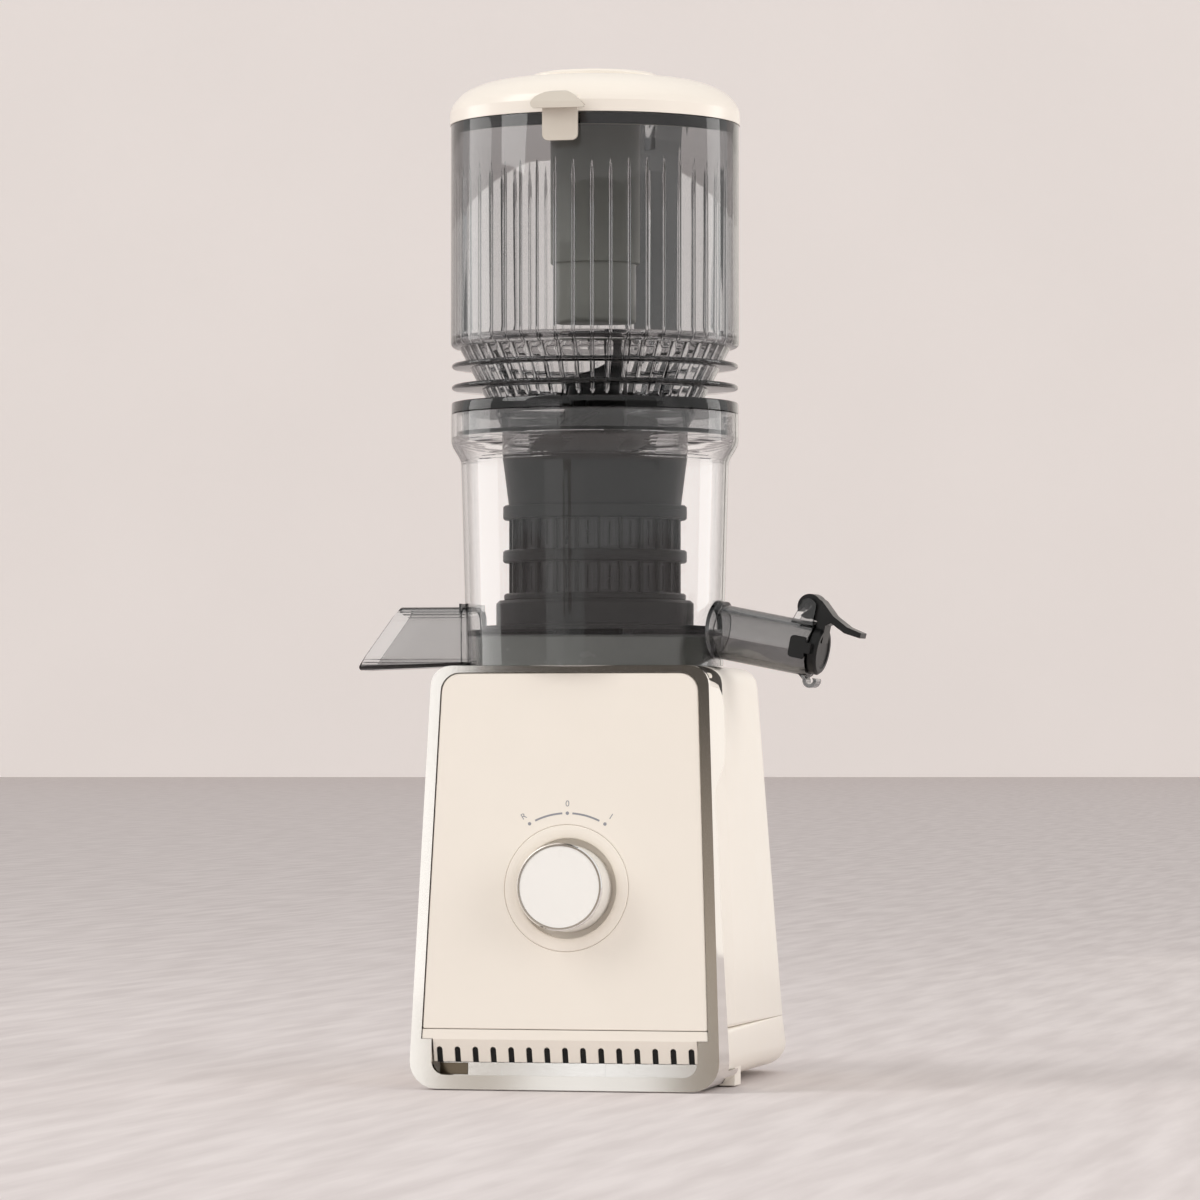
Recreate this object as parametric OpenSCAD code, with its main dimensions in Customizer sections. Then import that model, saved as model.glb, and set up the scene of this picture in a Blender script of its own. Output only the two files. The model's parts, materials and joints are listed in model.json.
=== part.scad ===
// Cold press juicer: a wide hopper over a slow auger in a clear juicing bowl, on a geared motor base.
// Millimetres, +Z up. The drive axis is the Z axis, the front faces -Y, and the feet stand on z = 0.

/* [Base] */
// Width of the metal frame at the floor
base_w_floor = 156; // [148:1:164]
// Width of the metal frame at the top of the base
base_w_top = 139; // [136:1:146]
// Height of the base, without the bowl seat
base_h = 208; // [204:1:216]
// Reach of the front face ahead of the drive axis, at the floor
front_reach = 71.7; // [70:0.5:78]
// Lean of the front face
front_lean = 3.66; // [3:0.1:4.2]
// Reach of the back behind the drive axis, at the floor
back_reach = 136; // [132:1:146]
// Lean of the back
back_lean = 6.6; // [5:0.2:7]
// Wall of the plastic housings
wall = 2.5; // [2:0.1:3]
// Height of the joint between the housings and the base pan
pan_h = 30; // [29:0.5:32]
// Radius of each foot
foot_r = 9; // [7:0.5:11]
// Height of each foot under the pan
foot_h = 4.5; // [4:0.1:5]

/* [Frame and panel] */
// Width of the frame's face beside the panel
frame_w = 5.2; // [4:0.1:6.5]
// Width of the frame's face above the panel
frame_top_w = 3.4; // [3:0.1:5.5]
// Gap between the panel and the frame
panel_gap = 0.4; // [0.3:0.1:1]
// Depth of the frame's front ring
frame_d = 3.8; // [3:0.1:3.8]
// Thickness of the frame's side skirts
skirt_t = 1.4; // [1:0.1:1.6]
// Width of the window under the panel
window_w = 133; // [130:1:134]
// Number of air slots in the chin
slot_count = 15; // [9:2:15]
// Width of each air slot
slot_w = 3; // [2:0.2:4]
// Spacing of the air slots
slot_pitch = 9; // [7:0.1:9]

/* [Dial] */
// Height of the dial's centre
dial_z = 99; // [90:1:115]
// Radius of the dished ring round the dial
bezel_r = 31; // [29:0.5:34]
// Radius of the dial
knob_r = 21.3; // [19:0.1:22.5]
// Height of the dial above the panel
knob_h = 15.6; // [12:0.1:18]
// Radius of the dial's stem
stem_r = 3; // [2.5:0.1:3.5]

/* [Bowl] */
// Radius of the bowl's collar
bowl_r = 72; // [70:0.5:74]
// Wall of the clear bowl
bowl_wall = 2.5; // [2:0.1:3]
// Height of the bowl seat over the base
seat_h = 15; // [13:0.5:17]
// Radius of the bowl seat
seat_r = 61.2; // [59:0.2:62]
// Height of the bowl above its seat
bowl_h = 111; // [108:1:116]
// Outer diameter of the juice spout
spout_d = 27; // [25:0.5:29]
// Bore of the juice spout
spout_bore = 21; // [18:0.5:22]
// Slope of the juice spout
spout_drop = 11; // [8:0.5:14]
// Turn of the juice spout toward the front
spout_turn = 7; // [4:1:12]
// Reach of the juice spout from the drive axis, along its slope
spout_reach = 117; // [112:1:124]
// Reach of the pulp chute from the drive axis
chute_reach = 118; // [110:1:126]
// Width of the pulp chute
chute_w = 36; // [32:1:44]
// Height of the pulp chute at its root
chute_h = 29; // [27:0.5:31]

/* [Strainer and auger] */
// Inner radius of the strainer's frame
strainer_r = 41; // [40:0.1:42]
// Outer radius of the strainer's rings
ring_r = 46; // [45:0.1:47]
// Number of ribs on the strainer
rib_count = 24; // [16:2:30]
// Thickness of the steel mesh
mesh_t = 0.6; // [0.5:0.1:0.8]
// Number of slots round the mesh
mesh_slots = 48; // [24:4:60]
// Clearance of the auger inside the mesh
auger_gap = 0.7; // [0.5:0.1:1]
// Number of flights on the auger
flight_count = 3; // [2:1:4]
// Turn of the flights from bottom to top
flight_turn = 400; // [300:20:460]

/* [Hopper and lid] */
// Outer radius of the hopper
hopper_r = 72.25; // [71:0.25:74]
// Wall of the hopper
hopper_wall = 2.6; // [2.2:0.1:3]
// Height of the hopper from the bowl's rim to the lid
hopper_h = 145; // [130:1:160]
// Number of flutes inside the hopper
flute_count = 48; // [24:4:60]
// Height of the lid over the hopper
lid_h = 22.2; // [20:0.2:26]
// Radius of the pusher
pusher_r = 20.5; // [19:0.1:22]
// Wall of the feed tube
tube_wall = 1.5; // [1.2:0.1:2]
// Length of the feed tube under the lid's rim
tube_drop = 70; // [60:1:76]
// Reach of the pusher below the feed tube
pusher_drop = 28.5; // [22:0.5:30]
// Width of the lid's latch plate
latch_w = 17.6; // [16:0.2:20]

/* [Drive] */
// Module of the motor stage
mod_fast = 0.9; // [0.8:0.05:1]
// Module of the output stage
mod_slow = 1.25; // [1.2:0.05:1.3]
// Distance from the drive axis to the motor shaft
motor_y = 66; // [62:1:68]
// Width across the flats of the drive hex
hex_af = 10; // [9:0.5:10]
// Radius of the hex seat on the drive shaft
shaft_r = 7; // [6.8:0.2:8]
// Radius of the motor shaft and the layshaft
thin_shaft_r = 3; // [2.6:0.1:3.2]
// Radius of the motor's stator
stator_r = 34; // [31:0.5:36]

/* [Hidden] */

$fn = 96;
smooth = 32;                       // facets on the hulled housings
seat_gap = 0.2;                    // under parts that rest on a seat
run_gap = 0.05;                    // radial, between a pin or shaft and its bore

cream = "#F1E7D9";
warm_grey = "#B9AE9C";
champagne = "#B3A28E";
clear_smoke = [0.45, 0.46, 0.48, 0.45];
dark_grey = "#3A3A3C";
black = "#1C1C1E";
rubber = "#2A2A2A";
steel = "#B8BBC0";
copper = "#B5713A";
brass = "#B89A55";

// Leaning faces of the base
side_lean = atan((base_w_floor - base_w_top) / 2 / base_h);
slope_h = base_h / cos(front_lean);            // the front face, measured up its slope
dial_v = dial_z / cos(front_lean);
function front_y(z) = -front_reach + z * tan(front_lean);
function back_y(z) = back_reach - z * tan(back_lean);
function side_x(z) = base_w_floor / 2 - z * tan(side_lean);
function face_half(v) = base_w_floor / 2 - v * (base_w_floor - base_w_top) / 2 / slope_h;
// Distance up the front slope that reaches height z at depth d behind or before the face
function slope_v(z, d) = (z - d * sin(front_lean)) / cos(front_lean);

// Levels of the bowl, strainer, hopper and lid
seat_top = base_h + seat_h;
bowl_floor_t = 3;
floor_top = seat_top + bowl_floor_t;
bowl_top = seat_top + bowl_h;
barrel_top_z = bowl_top - 25.3;
collar_z = bowl_top - 13;
collar_t = 2.6;
skirt_low = base_h + 0.3;
barrel_low_r = seat_r + 0.5 + bowl_wall;
barrel_high_r = bowl_r - 5;
function barrel_r(z) =
    barrel_low_r + (barrel_high_r - barrel_low_r) * (z - skirt_low) / (barrel_top_z - skirt_low);
strainer_low = floor_top + seat_gap;
drum_top = floor_top + 15;
mesh_top = floor_top + 62.5;
funnel_top = floor_top + 88;
mesh_out_r = strainer_r - 0.1;
mesh_in_r = mesh_out_r - mesh_t;
flight_r = mesh_in_r - auger_gap;
hub_r = 11;
core_top = bowl_top + 10;
hopper_top = bowl_top + hopper_h;
hopper_in_r = hopper_r - hopper_wall;
lid_r = hopper_r + 0.35;
lid_top = hopper_top + lid_h;
lid_wall = 2.5;
tube_bore_r = pusher_r + 0.3;
tube_out_r = tube_bore_r + tube_wall;
tube_low = hopper_top - tube_drop;
pusher_low = tube_low - pusher_drop;

// Gear train: 14 to 70 teeth, then 12 to 60, which is 25 to 1 in all
fast_pinion = 14;
fast_gear = 70;
slow_pinion = 12;
slow_gear = 60;
fast_centres = mod_fast * (fast_pinion + fast_gear) / 2;
slow_centres = mod_slow * (slow_pinion + slow_gear) / 2;
lay_y = (pow(slow_centres, 2) - pow(fast_centres, 2) + pow(motor_y, 2)) / (2 * motor_y);
lay_x = sqrt(pow(slow_centres, 2) - pow(lay_y, 2));
lay_angle = atan2(lay_y, lay_x);               // of the layshaft, seen from the drive axis
motor_angle = atan2(motor_y - lay_y, -lay_x);  // of the motor shaft, seen from the layshaft
gear_plate_t = 3;
upper_plate_z = base_h - 17;                   // underside of the upper gear plate
lower_plate_z = upper_plate_z - 35;            // underside of the lower gear plate
slow_z = upper_plate_z - 13;                   // underside of the output gear
slow_t = 10;
fast_z = slow_z - 12;                          // underside of the layshaft's large gear
fast_t = 7;
stator_top = lower_plate_z - 26;
stator_h = 42;
stator_low = stator_top - stator_h;
bracket_low = stator_low - 16;
fan_z = bracket_low - 14;
fan_t = 10;
rotor_r = stator_r - 10.5;
air_gap = 0.5;
top_journal_r = shaft_r * cos(30) - 0.06;      // passes through the output gear's hex hole
thin_hex_r = thin_shaft_r / cos(30);
hex_reach = 35;                                // of the drive hex above the bowl seat

// ---------- helpers ----------
function unit(v) = v / norm(v);

// Points of the arc that rounds corner b between its neighbours a and c
function fillet(a, b, c, r, steps = 6) =
    let (u = unit(a - b))
    let (w = unit(c - b))
    let (half = acos(u * w) / 2)
    let (centre = b + unit(u + w) * r / sin(half))
    let (start = b + u * r / tan(half) - centre)
    let (end = b + w * r / tan(half) - centre)
    let (first = atan2(start[1], start[0]))
    let (sweep = (atan2(end[1], end[0]) - first + 540) % 360 - 180)
    [for (i = [0:steps])
        centre + r * [cos(first + sweep * i / steps), sin(first + sweep * i / steps)]];

// A polygon's points with corner i rounded by radii[i]; 0 leaves the corner sharp
function rounded(points, radii) =
    let (n = len(points))
    [for (i = [0:n - 1])
        each radii[i] <= 0 ? [points[i]]
            : fillet(points[(i + n - 1) % n], points[i], points[(i + 1) % n], radii[i])];

function box_points(x0, y0, x1, y1) = [[x0, y0], [x1, y0], [x1, y1], [x0, y1]];

// A smooth S from point a to point b that starts and ends upright
function s_curve(a, b, steps = 8) =
    [for (i = [0:steps])
        [a[0] + (b[0] - a[0]) * (1 - cos(180 * i / steps)) / 2, a[1] + (b[1] - a[1]) * i / steps]];

module ring(outer, inner, h) {
    difference() {
        cylinder(r = outer, h = h);
        translate([0, 0, -1]) cylinder(r = inner, h = h + 2);
    }
}

module hex_bar(r, h) {
    cylinder(r = r, h = h, $fn = 6);
}

// Extrudes a side elevation, drawn as [y, z], along X about x = 0
module across(width) {
    translate([-width / 2, 0, 0]) rotate([90, 0, 90]) linear_extrude(width) children();
}

// Places children on the front face: x across, y up the slope, z out of the face
module on_front(v = 0) {
    translate([0, -front_reach, 0])
        rotate([-front_lean, 0, 0])
            rotate([90, 0, 0])
                translate([0, v, 0])
                    children();
}

// Places children on the back face at height z, their z axis out of the face
module on_back(z) {
    translate([0, back_y(z), z])
        rotate([-90 + back_lean, 0, 0])
            children();
}

// ---------- base housings ----------
set_back = 4;                      // of the housings behind the frame's face
front_edge_r = 9;
low_edge_r = 3;
top_edge = 10;
back_r_top = 40;
back_r_low = 30;
seam_y = -18;
seam_gap = 0.3;
top_hole_r = 50;
gland_z = 45;
gland_r = 6;
neck_r = 5;

// A disc with a soft upper edge
module soft_disc(r, edge) {
    rotate_extrude($fn = smooth)
        polygon(concat([[0, 0], [r, 0]],
            [for (i = [1:4]) [r - edge + edge * cos(i * 22.5), edge * sin(i * 22.5)]],
            [[0, edge]]));
}

// Form of the two upper housings, from height low up; inset shrinks it evenly for the cavity
module housing_form(inset, low) {
    front_z = -set_back - inset - 2;
    low_v = slope_v(low, front_z) + low_edge_r;
    high_v = slope_v(base_h - inset, front_z + 2) - front_edge_r;
    hull() {
        for (side = [-1, 1]) {
            on_front(low_v)
                translate([side * (face_half(low_v) - skirt_t - low_edge_r - inset), 0, front_z])
                    cylinder(r = low_edge_r, h = 2, $fn = smooth);
            on_front(high_v)
                translate([side * (face_half(high_v) - skirt_t - front_edge_r - inset), 0, front_z])
                    cylinder(r = front_edge_r, h = 2, $fn = smooth);
            translate([side * (side_x(low) - skirt_t - back_r_low), back_y(low) - back_r_low, low])
                cylinder(r = back_r_low - inset, h = 1, $fn = smooth);
            translate([side * (side_x(base_h) - skirt_t - back_r_top), back_y(base_h) - back_r_top,
                base_h - top_edge - inset])
                soft_disc(back_r_top - inset, top_edge);
        }
    }
}

module housing_shell() {
    difference() {
        housing_form(0, pan_h);
        housing_form(wall, pan_h - 6);
        translate([0, 0, base_h - wall - 4]) cylinder(r = top_hole_r, h = wall + 8);
    }
}

module rear_housing() {
    color(cream)
        difference() {
            housing_shell();
            translate([-100, seam_y - 200, 0]) cube([200, 200, base_h + 1]);
            on_back(gland_z) translate([0, 0, -12]) cylinder(r = gland_r + seat_gap, h = 24);
        }
}

module front_housing() {
    color(cream)
        difference() {
            housing_shell();
            translate([-100, seam_y - seam_gap, 0]) cube([200, 200, base_h + 1]);
            on_front(dial_v)
                translate([0, 0, -20]) cylinder(r = bezel_r - cup_set + cup_wall + seat_gap, h = 30);
        }
}

// ---------- front: panel, frame and chin ----------
panel_t = 3.5;
panel_face = -0.5;                 // face of the panel, from the frame's face
panel_back = -set_back;
bar_low = 0.7;
bar_top = 7.5;
band_top = 9.5;                    // of the skirts' foot band
frame_low_r = 13.5;                // lower corners of the frame
window_top = 25;
chin_low = 14.2;
chin_set = 4;                      // how far the chin's foot stands back from its top
chin_back = -13;
pan_front = -14;                   // front wall of the base pan, from the frame's face
slot_top = 21.5;

// Outline of the frame's opening for the panel, shrunk by a gap, from height low up
function opening(gap, low, low_r) =
    let (high = slope_h - frame_top_w - gap)
    let (half_low = face_half(low) - frame_w - gap)
    let (half_high = face_half(high) - frame_w - gap)
    rounded([[-half_low, low], [half_low, low], [half_high, high], [-half_high, high]],
        [low_r, low_r, 9.5 - gap, 9.5 - gap]);

module front_panel() {
    color(cream)
        on_front()
            translate([0, 0, panel_back])
                difference() {
                    linear_extrude(panel_t) polygon(opening(panel_gap, pan_h + 0.2, 1));
                    translate([0, dial_v, -1]) cylinder(r = bezel_r + 0.1, h = panel_t + 2);
                }
}

function back_from_front(back, z) = [front_y(z) + back, z];

// Side elevation of a skirt: an ear at the top, a strip that widens downward, and a foot band
module skirt_outline() {
    polygon(rounded([
        back_from_front(1, bar_low), back_from_front(54, bar_low), back_from_front(54, band_top),
        back_from_front(26, band_top), back_from_front(7, 146), back_from_front(36, 161),
        back_from_front(38, 196), back_from_front(1, 198)], [0, 5, 2, 3, 9, 12, 12, 0]));
}

// Outline of the base seen from the front, t inside the skirts' outer faces
function skirt_section(t) =
    let (r = frame_low_r - t)
    rounded([[-side_x(bar_low) + t, bar_low + t], [side_x(bar_low) - t, bar_low + t],
        [side_x(base_h) - t, base_h], [-side_x(base_h) + t, base_h]], [r, r, 0, 0]);

// Both skirts: a thin shell that follows the sides and turns under at the floor
module skirts() {
    intersection() {
        rotate([90, 0, 0])
            linear_extrude(front_reach + 1)
                difference() {
                    polygon(skirt_section(0));
                    polygon(skirt_section(skirt_t - run_gap));
                    translate([frame_low_r - side_x(0), 0])
                        square([2 * (side_x(0) - frame_low_r), base_h + 1]);
                }
        across(base_w_floor + 2) skirt_outline();
    }
}

module trim_frame() {
    low_half = face_half(bar_low);
    high_half = face_half(slope_h);
    color(champagne) {
        on_front()
            translate([0, 0, -frame_d])
                linear_extrude(frame_d)
                    difference() {
                        polygon(rounded([[-low_half, bar_low], [low_half, bar_low],
                            [high_half, slope_h], [-high_half, slope_h]],
                            [frame_low_r, frame_low_r, 10, 10]));
                        polygon(opening(0, window_top, 0));
                        polygon(rounded(box_points(-window_w / 2, bar_top, window_w / 2, window_top + 1),
                            [7, 7, 0, 0]));
                    }
        skirts();
    }
}

// The lip under the panel and the sloping chin with its air slots
module vent_chin() {
    lip_low = window_top + 0.2;
    lip_high = pan_h - 0.1;
    lip_low_half = face_half(lip_low) - frame_w - panel_gap;
    lip_high_half = face_half(lip_high) - frame_w - panel_gap;
    first = -(slot_count - 1) / 2 * slot_pitch;
    color(cream)
        on_front()
            difference() {
                union() {
                    across(window_w - 1)
                        polygon([[chin_low + 0.6, chin_back], [lip_high, chin_back], [lip_high, panel_face],
                            [window_top, panel_face], [chin_low, panel_face - chin_set]]);
                    translate([0, 0, chin_back])
                        linear_extrude(panel_face - chin_back)
                            polygon([[-lip_low_half, lip_low], [lip_low_half, lip_low],
                                [lip_high_half, lip_high], [-lip_high_half, lip_high]]);
                }
                for (i = [0:slot_count - 1])
                    translate([first + i * slot_pitch, 0, chin_back - 1]) {
                        translate([-slot_w / 2, chin_low - 1, 0])
                            cube([slot_w, slot_top - slot_w / 2 - chin_low + 1, -chin_back + 2]);
                        translate([0, slot_top - slot_w / 2, 0])
                            cylinder(d = slot_w, h = -chin_back + 2, $fn = 24);
                    }
            }
}

// ---------- base pan, feet, plinth ----------
pan_edge = 11;
pan_floor = foot_h + wall;
foot_sink = 1.4;
cover_r = 26;
cover_drop = 2;
foot_spots = [[-54, -36], [54, -36], [-44, 96], [44, 96]];
board_x = -62;
board_y = -34;
board_w = 52;
board_d = 66;
board_z = 14;
board_inset = 4;
board_spots = [for (x = [board_x + board_inset, board_x + board_w - board_inset],
    y = [board_y + board_inset, board_y + board_d - board_inset]) [x, y]];

module pan_form(inset, high) {
    front_z = pan_front - inset - 2;
    high_v = slope_v(high, front_z + 2);
    low_v = slope_v(foot_h + inset, front_z) + pan_edge;
    hull() {
        for (side = [-1, 1]) {
            on_front(low_v)
                translate([side * (face_half(low_v) - skirt_t - pan_edge - inset), 0, front_z])
                    cylinder(r = pan_edge, h = 2, $fn = smooth);
            on_front(high_v - low_edge_r)
                translate([side * (face_half(high_v) - skirt_t - low_edge_r - inset), 0, front_z])
                    cylinder(r = low_edge_r, h = 2, $fn = smooth);
            translate([side * (side_x(0) - skirt_t - back_r_low), back_y(0) - back_r_low,
                foot_h + pan_edge + inset])
                mirror([0, 0, 1]) soft_disc(back_r_low - inset, pan_edge);
            translate([side * (side_x(high) - skirt_t - back_r_low), back_y(high) - back_r_low, high - 1])
                cylinder(r = back_r_low - inset, h = 1, $fn = smooth);
        }
    }
}

// Pan with its feet's seats, vents and board posts, and a round plate under its middle
module base_pan() {
    color(cream) {
        translate([0, 0, foot_h - cover_drop]) cylinder(r = cover_r, h = cover_drop + wall / 2);
        difference() {
            pan_form(0, pan_h - 0.2);
            pan_form(wall, pan_h + 6);
            for (spot = foot_spots)
                translate([spot[0], spot[1], foot_h - 1]) cylinder(r = foot_r + seat_gap, h = foot_sink + 1);
            on_front()
                translate([-slot_pitch * 7, chin_low + 1, pan_front - 8])
                    cube([slot_pitch * 14, slot_top - chin_low - 1, 9]);
            for (i = [-4:4])
                translate([i * 8 - 1.5, 52, foot_h - 1]) cube([3, 34, wall + 2]);
        }
        for (spot = board_spots)
            translate([spot[0], spot[1], pan_floor - 0.5]) ring(2.8, 1.1, board_z - pan_floor + 0.5);
        for (side = [-1, 1])
            translate([side * (side_x(0) - 9.5) - 6, 54.3 - front_reach, bar_low + 0.1])
                cube([12, 15.5, 9.8]);
    }
}

// Bright strip behind the window, under the air slots
module plinth_strip() {
    strip_t = 1.2;
    color(steel)
        on_front()
            difference() {
                translate([-window_w / 2 + 1, bar_top, pan_front + run_gap])
                    cube([window_w - 2, chin_low - bar_top - seat_gap, strip_t]);
                for (x = [-34, 18])
                    translate([x, bar_top - 1, pan_front + strip_t - 0.3]) cube([0.6, 10, 2]);
            }
}

module rubber_feet() {
    color(rubber)
        for (spot = foot_spots)
            translate([spot[0], spot[1], 0])
                rotate_extrude()
                    polygon([[0, 0], [foot_r - 1, 0], [foot_r, 1], [foot_r, foot_h + foot_sink],
                        [0, foot_h + foot_sink]]);
}

module circuit_board() {
    board_t = 1.6;
    top = board_z + board_t;
    color("#2E6B45")
        difference() {
            translate([board_x, board_y, board_z]) cube([board_w, board_d, board_t]);
            for (spot = board_spots)
                translate([spot[0], spot[1], board_z - 1]) cylinder(r = 1.2, h = board_t + 2, $fn = 24);
        }
    color(black) {
        translate([board_x + 10, board_y + 12, top]) cube([18, 14, 13]);
        translate([board_x + 12, board_y + 34, top]) cube([14, 20, 9]);
        translate([board_x + 38, board_y + 24, top]) cylinder(r = 6, h = 18);
        translate([board_x + 38, board_y + 42, top]) cylinder(r = 4.5, h = 14);
    }
}

module board_screws() {
    color(steel)
        for (spot = board_spots)
            translate([spot[0], spot[1], board_z - 5]) {
                cylinder(r = 1.05, h = 6.6 + 0.1, $fn = 24);
                translate([0, 0, 6.6]) cylinder(r = 2.2, h = 1.4, $fn = 24);
            }
}

// Strain relief at the back, with its flange inside the wall
module cord_gland() {
    color(black)
        on_back(gland_z)
            difference() {
                union() {
                    translate([0, 0, -wall - 3 - seat_gap]) cylinder(r = gland_r + 3, h = 3);
                    translate([0, 0, -wall - 1]) cylinder(r = gland_r, h = wall + 2);
                    for (i = [0:2])
                        let (rib_r = gland_r - i * 0.5)
                            translate([0, 0, 1 + i * 2.6]) cylinder(r1 = rib_r, r2 = rib_r - 0.4, h = 1.8);
                    cylinder(r = gland_r - 1.8, h = 9);
                }
                translate([0, 0, -wall - 6]) cylinder(r = 3, h = 24);
            }
}

// ---------- dial ----------
cup_set = 6.4;                     // from the dished ring's edge in to its cup
cup_wall = 1.6;
cup_floor = -8.5;
cup_back = cup_floor - 2;
switch_t = 12;

// Sloping ring with a deep cup in its middle, its flange on the housing's face
module dial_bezel() {
    lip = panel_face + 0.1;
    cup_r = bezel_r - cup_set;
    slope_low = panel_face - 2;
    color(cream)
        on_front(dial_v)
            rotate_extrude()
                polygon(concat(
                    [[neck_r + seat_gap, cup_back], [cup_r + cup_wall, cup_back],
                        [cup_r + cup_wall, panel_back], [bezel_r, panel_back], [bezel_r, lip - 0.4],
                        [bezel_r - 0.4, lip]],
                    [for (a = [90:-15:0]) [bezel_r - 1 - (cup_set - 1) * cos(a), slope_low
                        + (lip - slope_low) * sin(a)]],
                    [[cup_r, cup_floor], [neck_r + seat_gap, cup_floor]]));
}

// The switch body clamps behind the cup's floor, its neck in the floor's hole
module rotary_switch() {
    front = cup_back - 0.05;
    color(dark_grey)
        on_front(dial_v)
            difference() {
                union() {
                    translate([-13, -13, front - switch_t]) cube([26, 26, switch_t]);
                    translate([0, 0, front - 1]) cylinder(r = neck_r, h = 2.8);
                }
                translate([0, 0, front - switch_t + 3]) cylinder(r = stem_r + run_gap, h = switch_t + 9);
            }
}

module switch_stem() {
    low = cup_back - switch_t + 3.2;
    color(steel)
        on_front(dial_v) translate([0, 0, low]) cylinder(r = stem_r, h = 8 - low);
}

module knob_body() {
    low = cup_floor + 0.7;
    step = knob_h - 1.5;
    bore_r = stem_r + run_gap;
    color(cream)
        on_front(dial_v)
            rotate_extrude()
                polygon([[bore_r, low], [knob_r - 0.6, low], [knob_r, low + 0.6], [knob_r, step],
                    [0, step], [0, 8.2], [bore_r, 8.2]]);
}

module knob_ring() {
    color(steel)
        on_front(dial_v)
            rotate_extrude()
                polygon([[knob_r - 1.4, knob_h - 1.5], [knob_r + 0.1, knob_h - 1.5],
                    [knob_r + 0.1, knob_h - 0.7], [knob_r - 0.5, knob_h], [knob_r - 1.4, knob_h]]);
}

module knob_face() {
    color(cream)
        on_front(dial_v)
            translate([0, 0, knob_h - 1.5])
                cylinder(r = knob_r - 1.4 - run_gap, h = 1.2);
}

// ---------- bowl seat and gearbox ----------
seat_wall = 2.5;
tube_r = 13;
bush_t = 3.4;
post_ring_r = 40;
post_r = 4;
motor_hole_r = 9;                  // in the lower gear plate, round the motor's pinion
upper_top = upper_plate_z + gear_plate_t;
plate_x0 = -52;
plate_x1 = 58;
plate_y0 = -47;
plate_y1 = 88;
pillar_spots = [[plate_x0 + 6, plate_y0 + 6], [plate_x1 - 6, plate_y0 + 6],
    [plate_x0 + 6, plate_y1 - 6], [plate_x1 - 6, plate_y1 - 6]];

module at_lay() {
    translate([lay_x, lay_y, 0]) children();
}

module at_motor() {
    translate([0, motor_y, 0]) children();
}

// Ring seat under the bowl, with the tube that holds the top bush and four posts on the gearbox
module bowl_seat() {
    color(cream) {
        rotate_extrude()
            polygon([[top_journal_r + bush_t, upper_top], [tube_r, upper_top], [tube_r, seat_top - 3],
                [seat_r - seat_wall, seat_top - 3], [seat_r - seat_wall, base_h], [seat_r, base_h],
                [seat_r, seat_top - 1], [seat_r - 1, seat_top], [top_journal_r + bush_t, seat_top]]);
        for (a = [45:90:315])
            rotate([0, 0, a])
                translate([post_ring_r, 0, upper_top])
                    cylinder(r = post_r, h = seat_top - 2 - upper_top);
    }
}

module output_bushes() {
    color(brass) {
        translate([0, 0, upper_top + 8])
            ring(top_journal_r + bush_t - 0.02, top_journal_r + run_gap, seat_top - 2 - upper_top - 8);
        translate([0, 0, lower_plate_z - 1])
            ring(shaft_r + bush_t - 0.02, shaft_r + run_gap, gear_plate_t + 3);
    }
}

module output_seal() {
    color(rubber)
        translate([0, 0, seat_top - 1.9])
            ring(top_journal_r + bush_t - 0.02, top_journal_r + run_gap, 1.8);
}

module gear_plate() {
    linear_extrude(gear_plate_t)
        polygon(rounded(box_points(plate_x0, plate_y0, plate_x1, plate_y1), [8, 8, 8, 8]));
}

module thin_bush_hole() {
    translate([0, 0, -1]) cylinder(r = thin_shaft_r + 2, h = gear_plate_t + 2);
}

module upper_gear_plate() {
    color(steel)
        translate([0, 0, upper_plate_z])
            difference() {
                gear_plate();
                translate([0, 0, -1]) cylinder(r = tube_r - 1, h = gear_plate_t + 2);
                at_lay() thin_bush_hole();
            }
}

module lower_gear_plate() {
    color(steel)
        translate([0, 0, lower_plate_z])
            difference() {
                gear_plate();
                translate([0, 0, -1]) cylinder(r = shaft_r + bush_t, h = gear_plate_t + 2);
                at_lay() thin_bush_hole();
                at_motor() translate([0, 0, -1]) cylinder(r = motor_hole_r, h = gear_plate_t + 2);
            }
}

module plate_pillars() {
    low = lower_plate_z + gear_plate_t;
    color(steel)
        for (spot = pillar_spots)
            translate([spot[0], spot[1], low]) cylinder(r = 4, h = upper_plate_z - low, $fn = 6);
}

module thin_bush() {
    ring(thin_shaft_r + 1.98, thin_shaft_r + run_gap, gear_plate_t);
}

module thin_bushes() {
    color(brass) {
        at_lay() {
            translate([0, 0, lower_plate_z]) thin_bush();
            translate([0, 0, upper_plate_z]) thin_bush();
        }
        at_motor() {
            translate([0, 0, lower_plate_z - gear_plate_t]) thin_bush();
            translate([0, 0, bracket_low]) thin_bush();
        }
    }
}

// ---------- gears ----------
pressure = 20;
tooth_thin = 0.16;                 // taken off each tooth, in modules
function involute(a) = tan(a) - a * PI / 180;

// Half of a tooth's angle at radius r
function tooth_half(teeth, mod, r) =
    let (pitch_r = teeth * mod / 2)
    let (base_r = pitch_r * cos(pressure))
    let (at = acos(base_r / max(r, base_r)))
    90 / teeth + (involute(pressure) - involute(at) - tooth_thin * mod / 2 / pitch_r) * 180 / PI;

function gear_points(teeth, mod) =
    let (pitch_r = teeth * mod / 2)
    let (radii = [pitch_r - 1.2 * mod, pitch_r - 0.3 * mod, pitch_r + 0.3 * mod, pitch_r + 0.9 * mod])
    [for (i = [0:teeth - 1])
        each concat(
            [for (k = [0:3])
                let (a = 360 * i / teeth - tooth_half(teeth, mod, radii[k]))
                radii[k] * [cos(a), sin(a)]],
            [for (k = [3:-1:0])
                let (a = 360 * i / teeth + tooth_half(teeth, mod, radii[k]))
                radii[k] * [cos(a), sin(a)]])];

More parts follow.
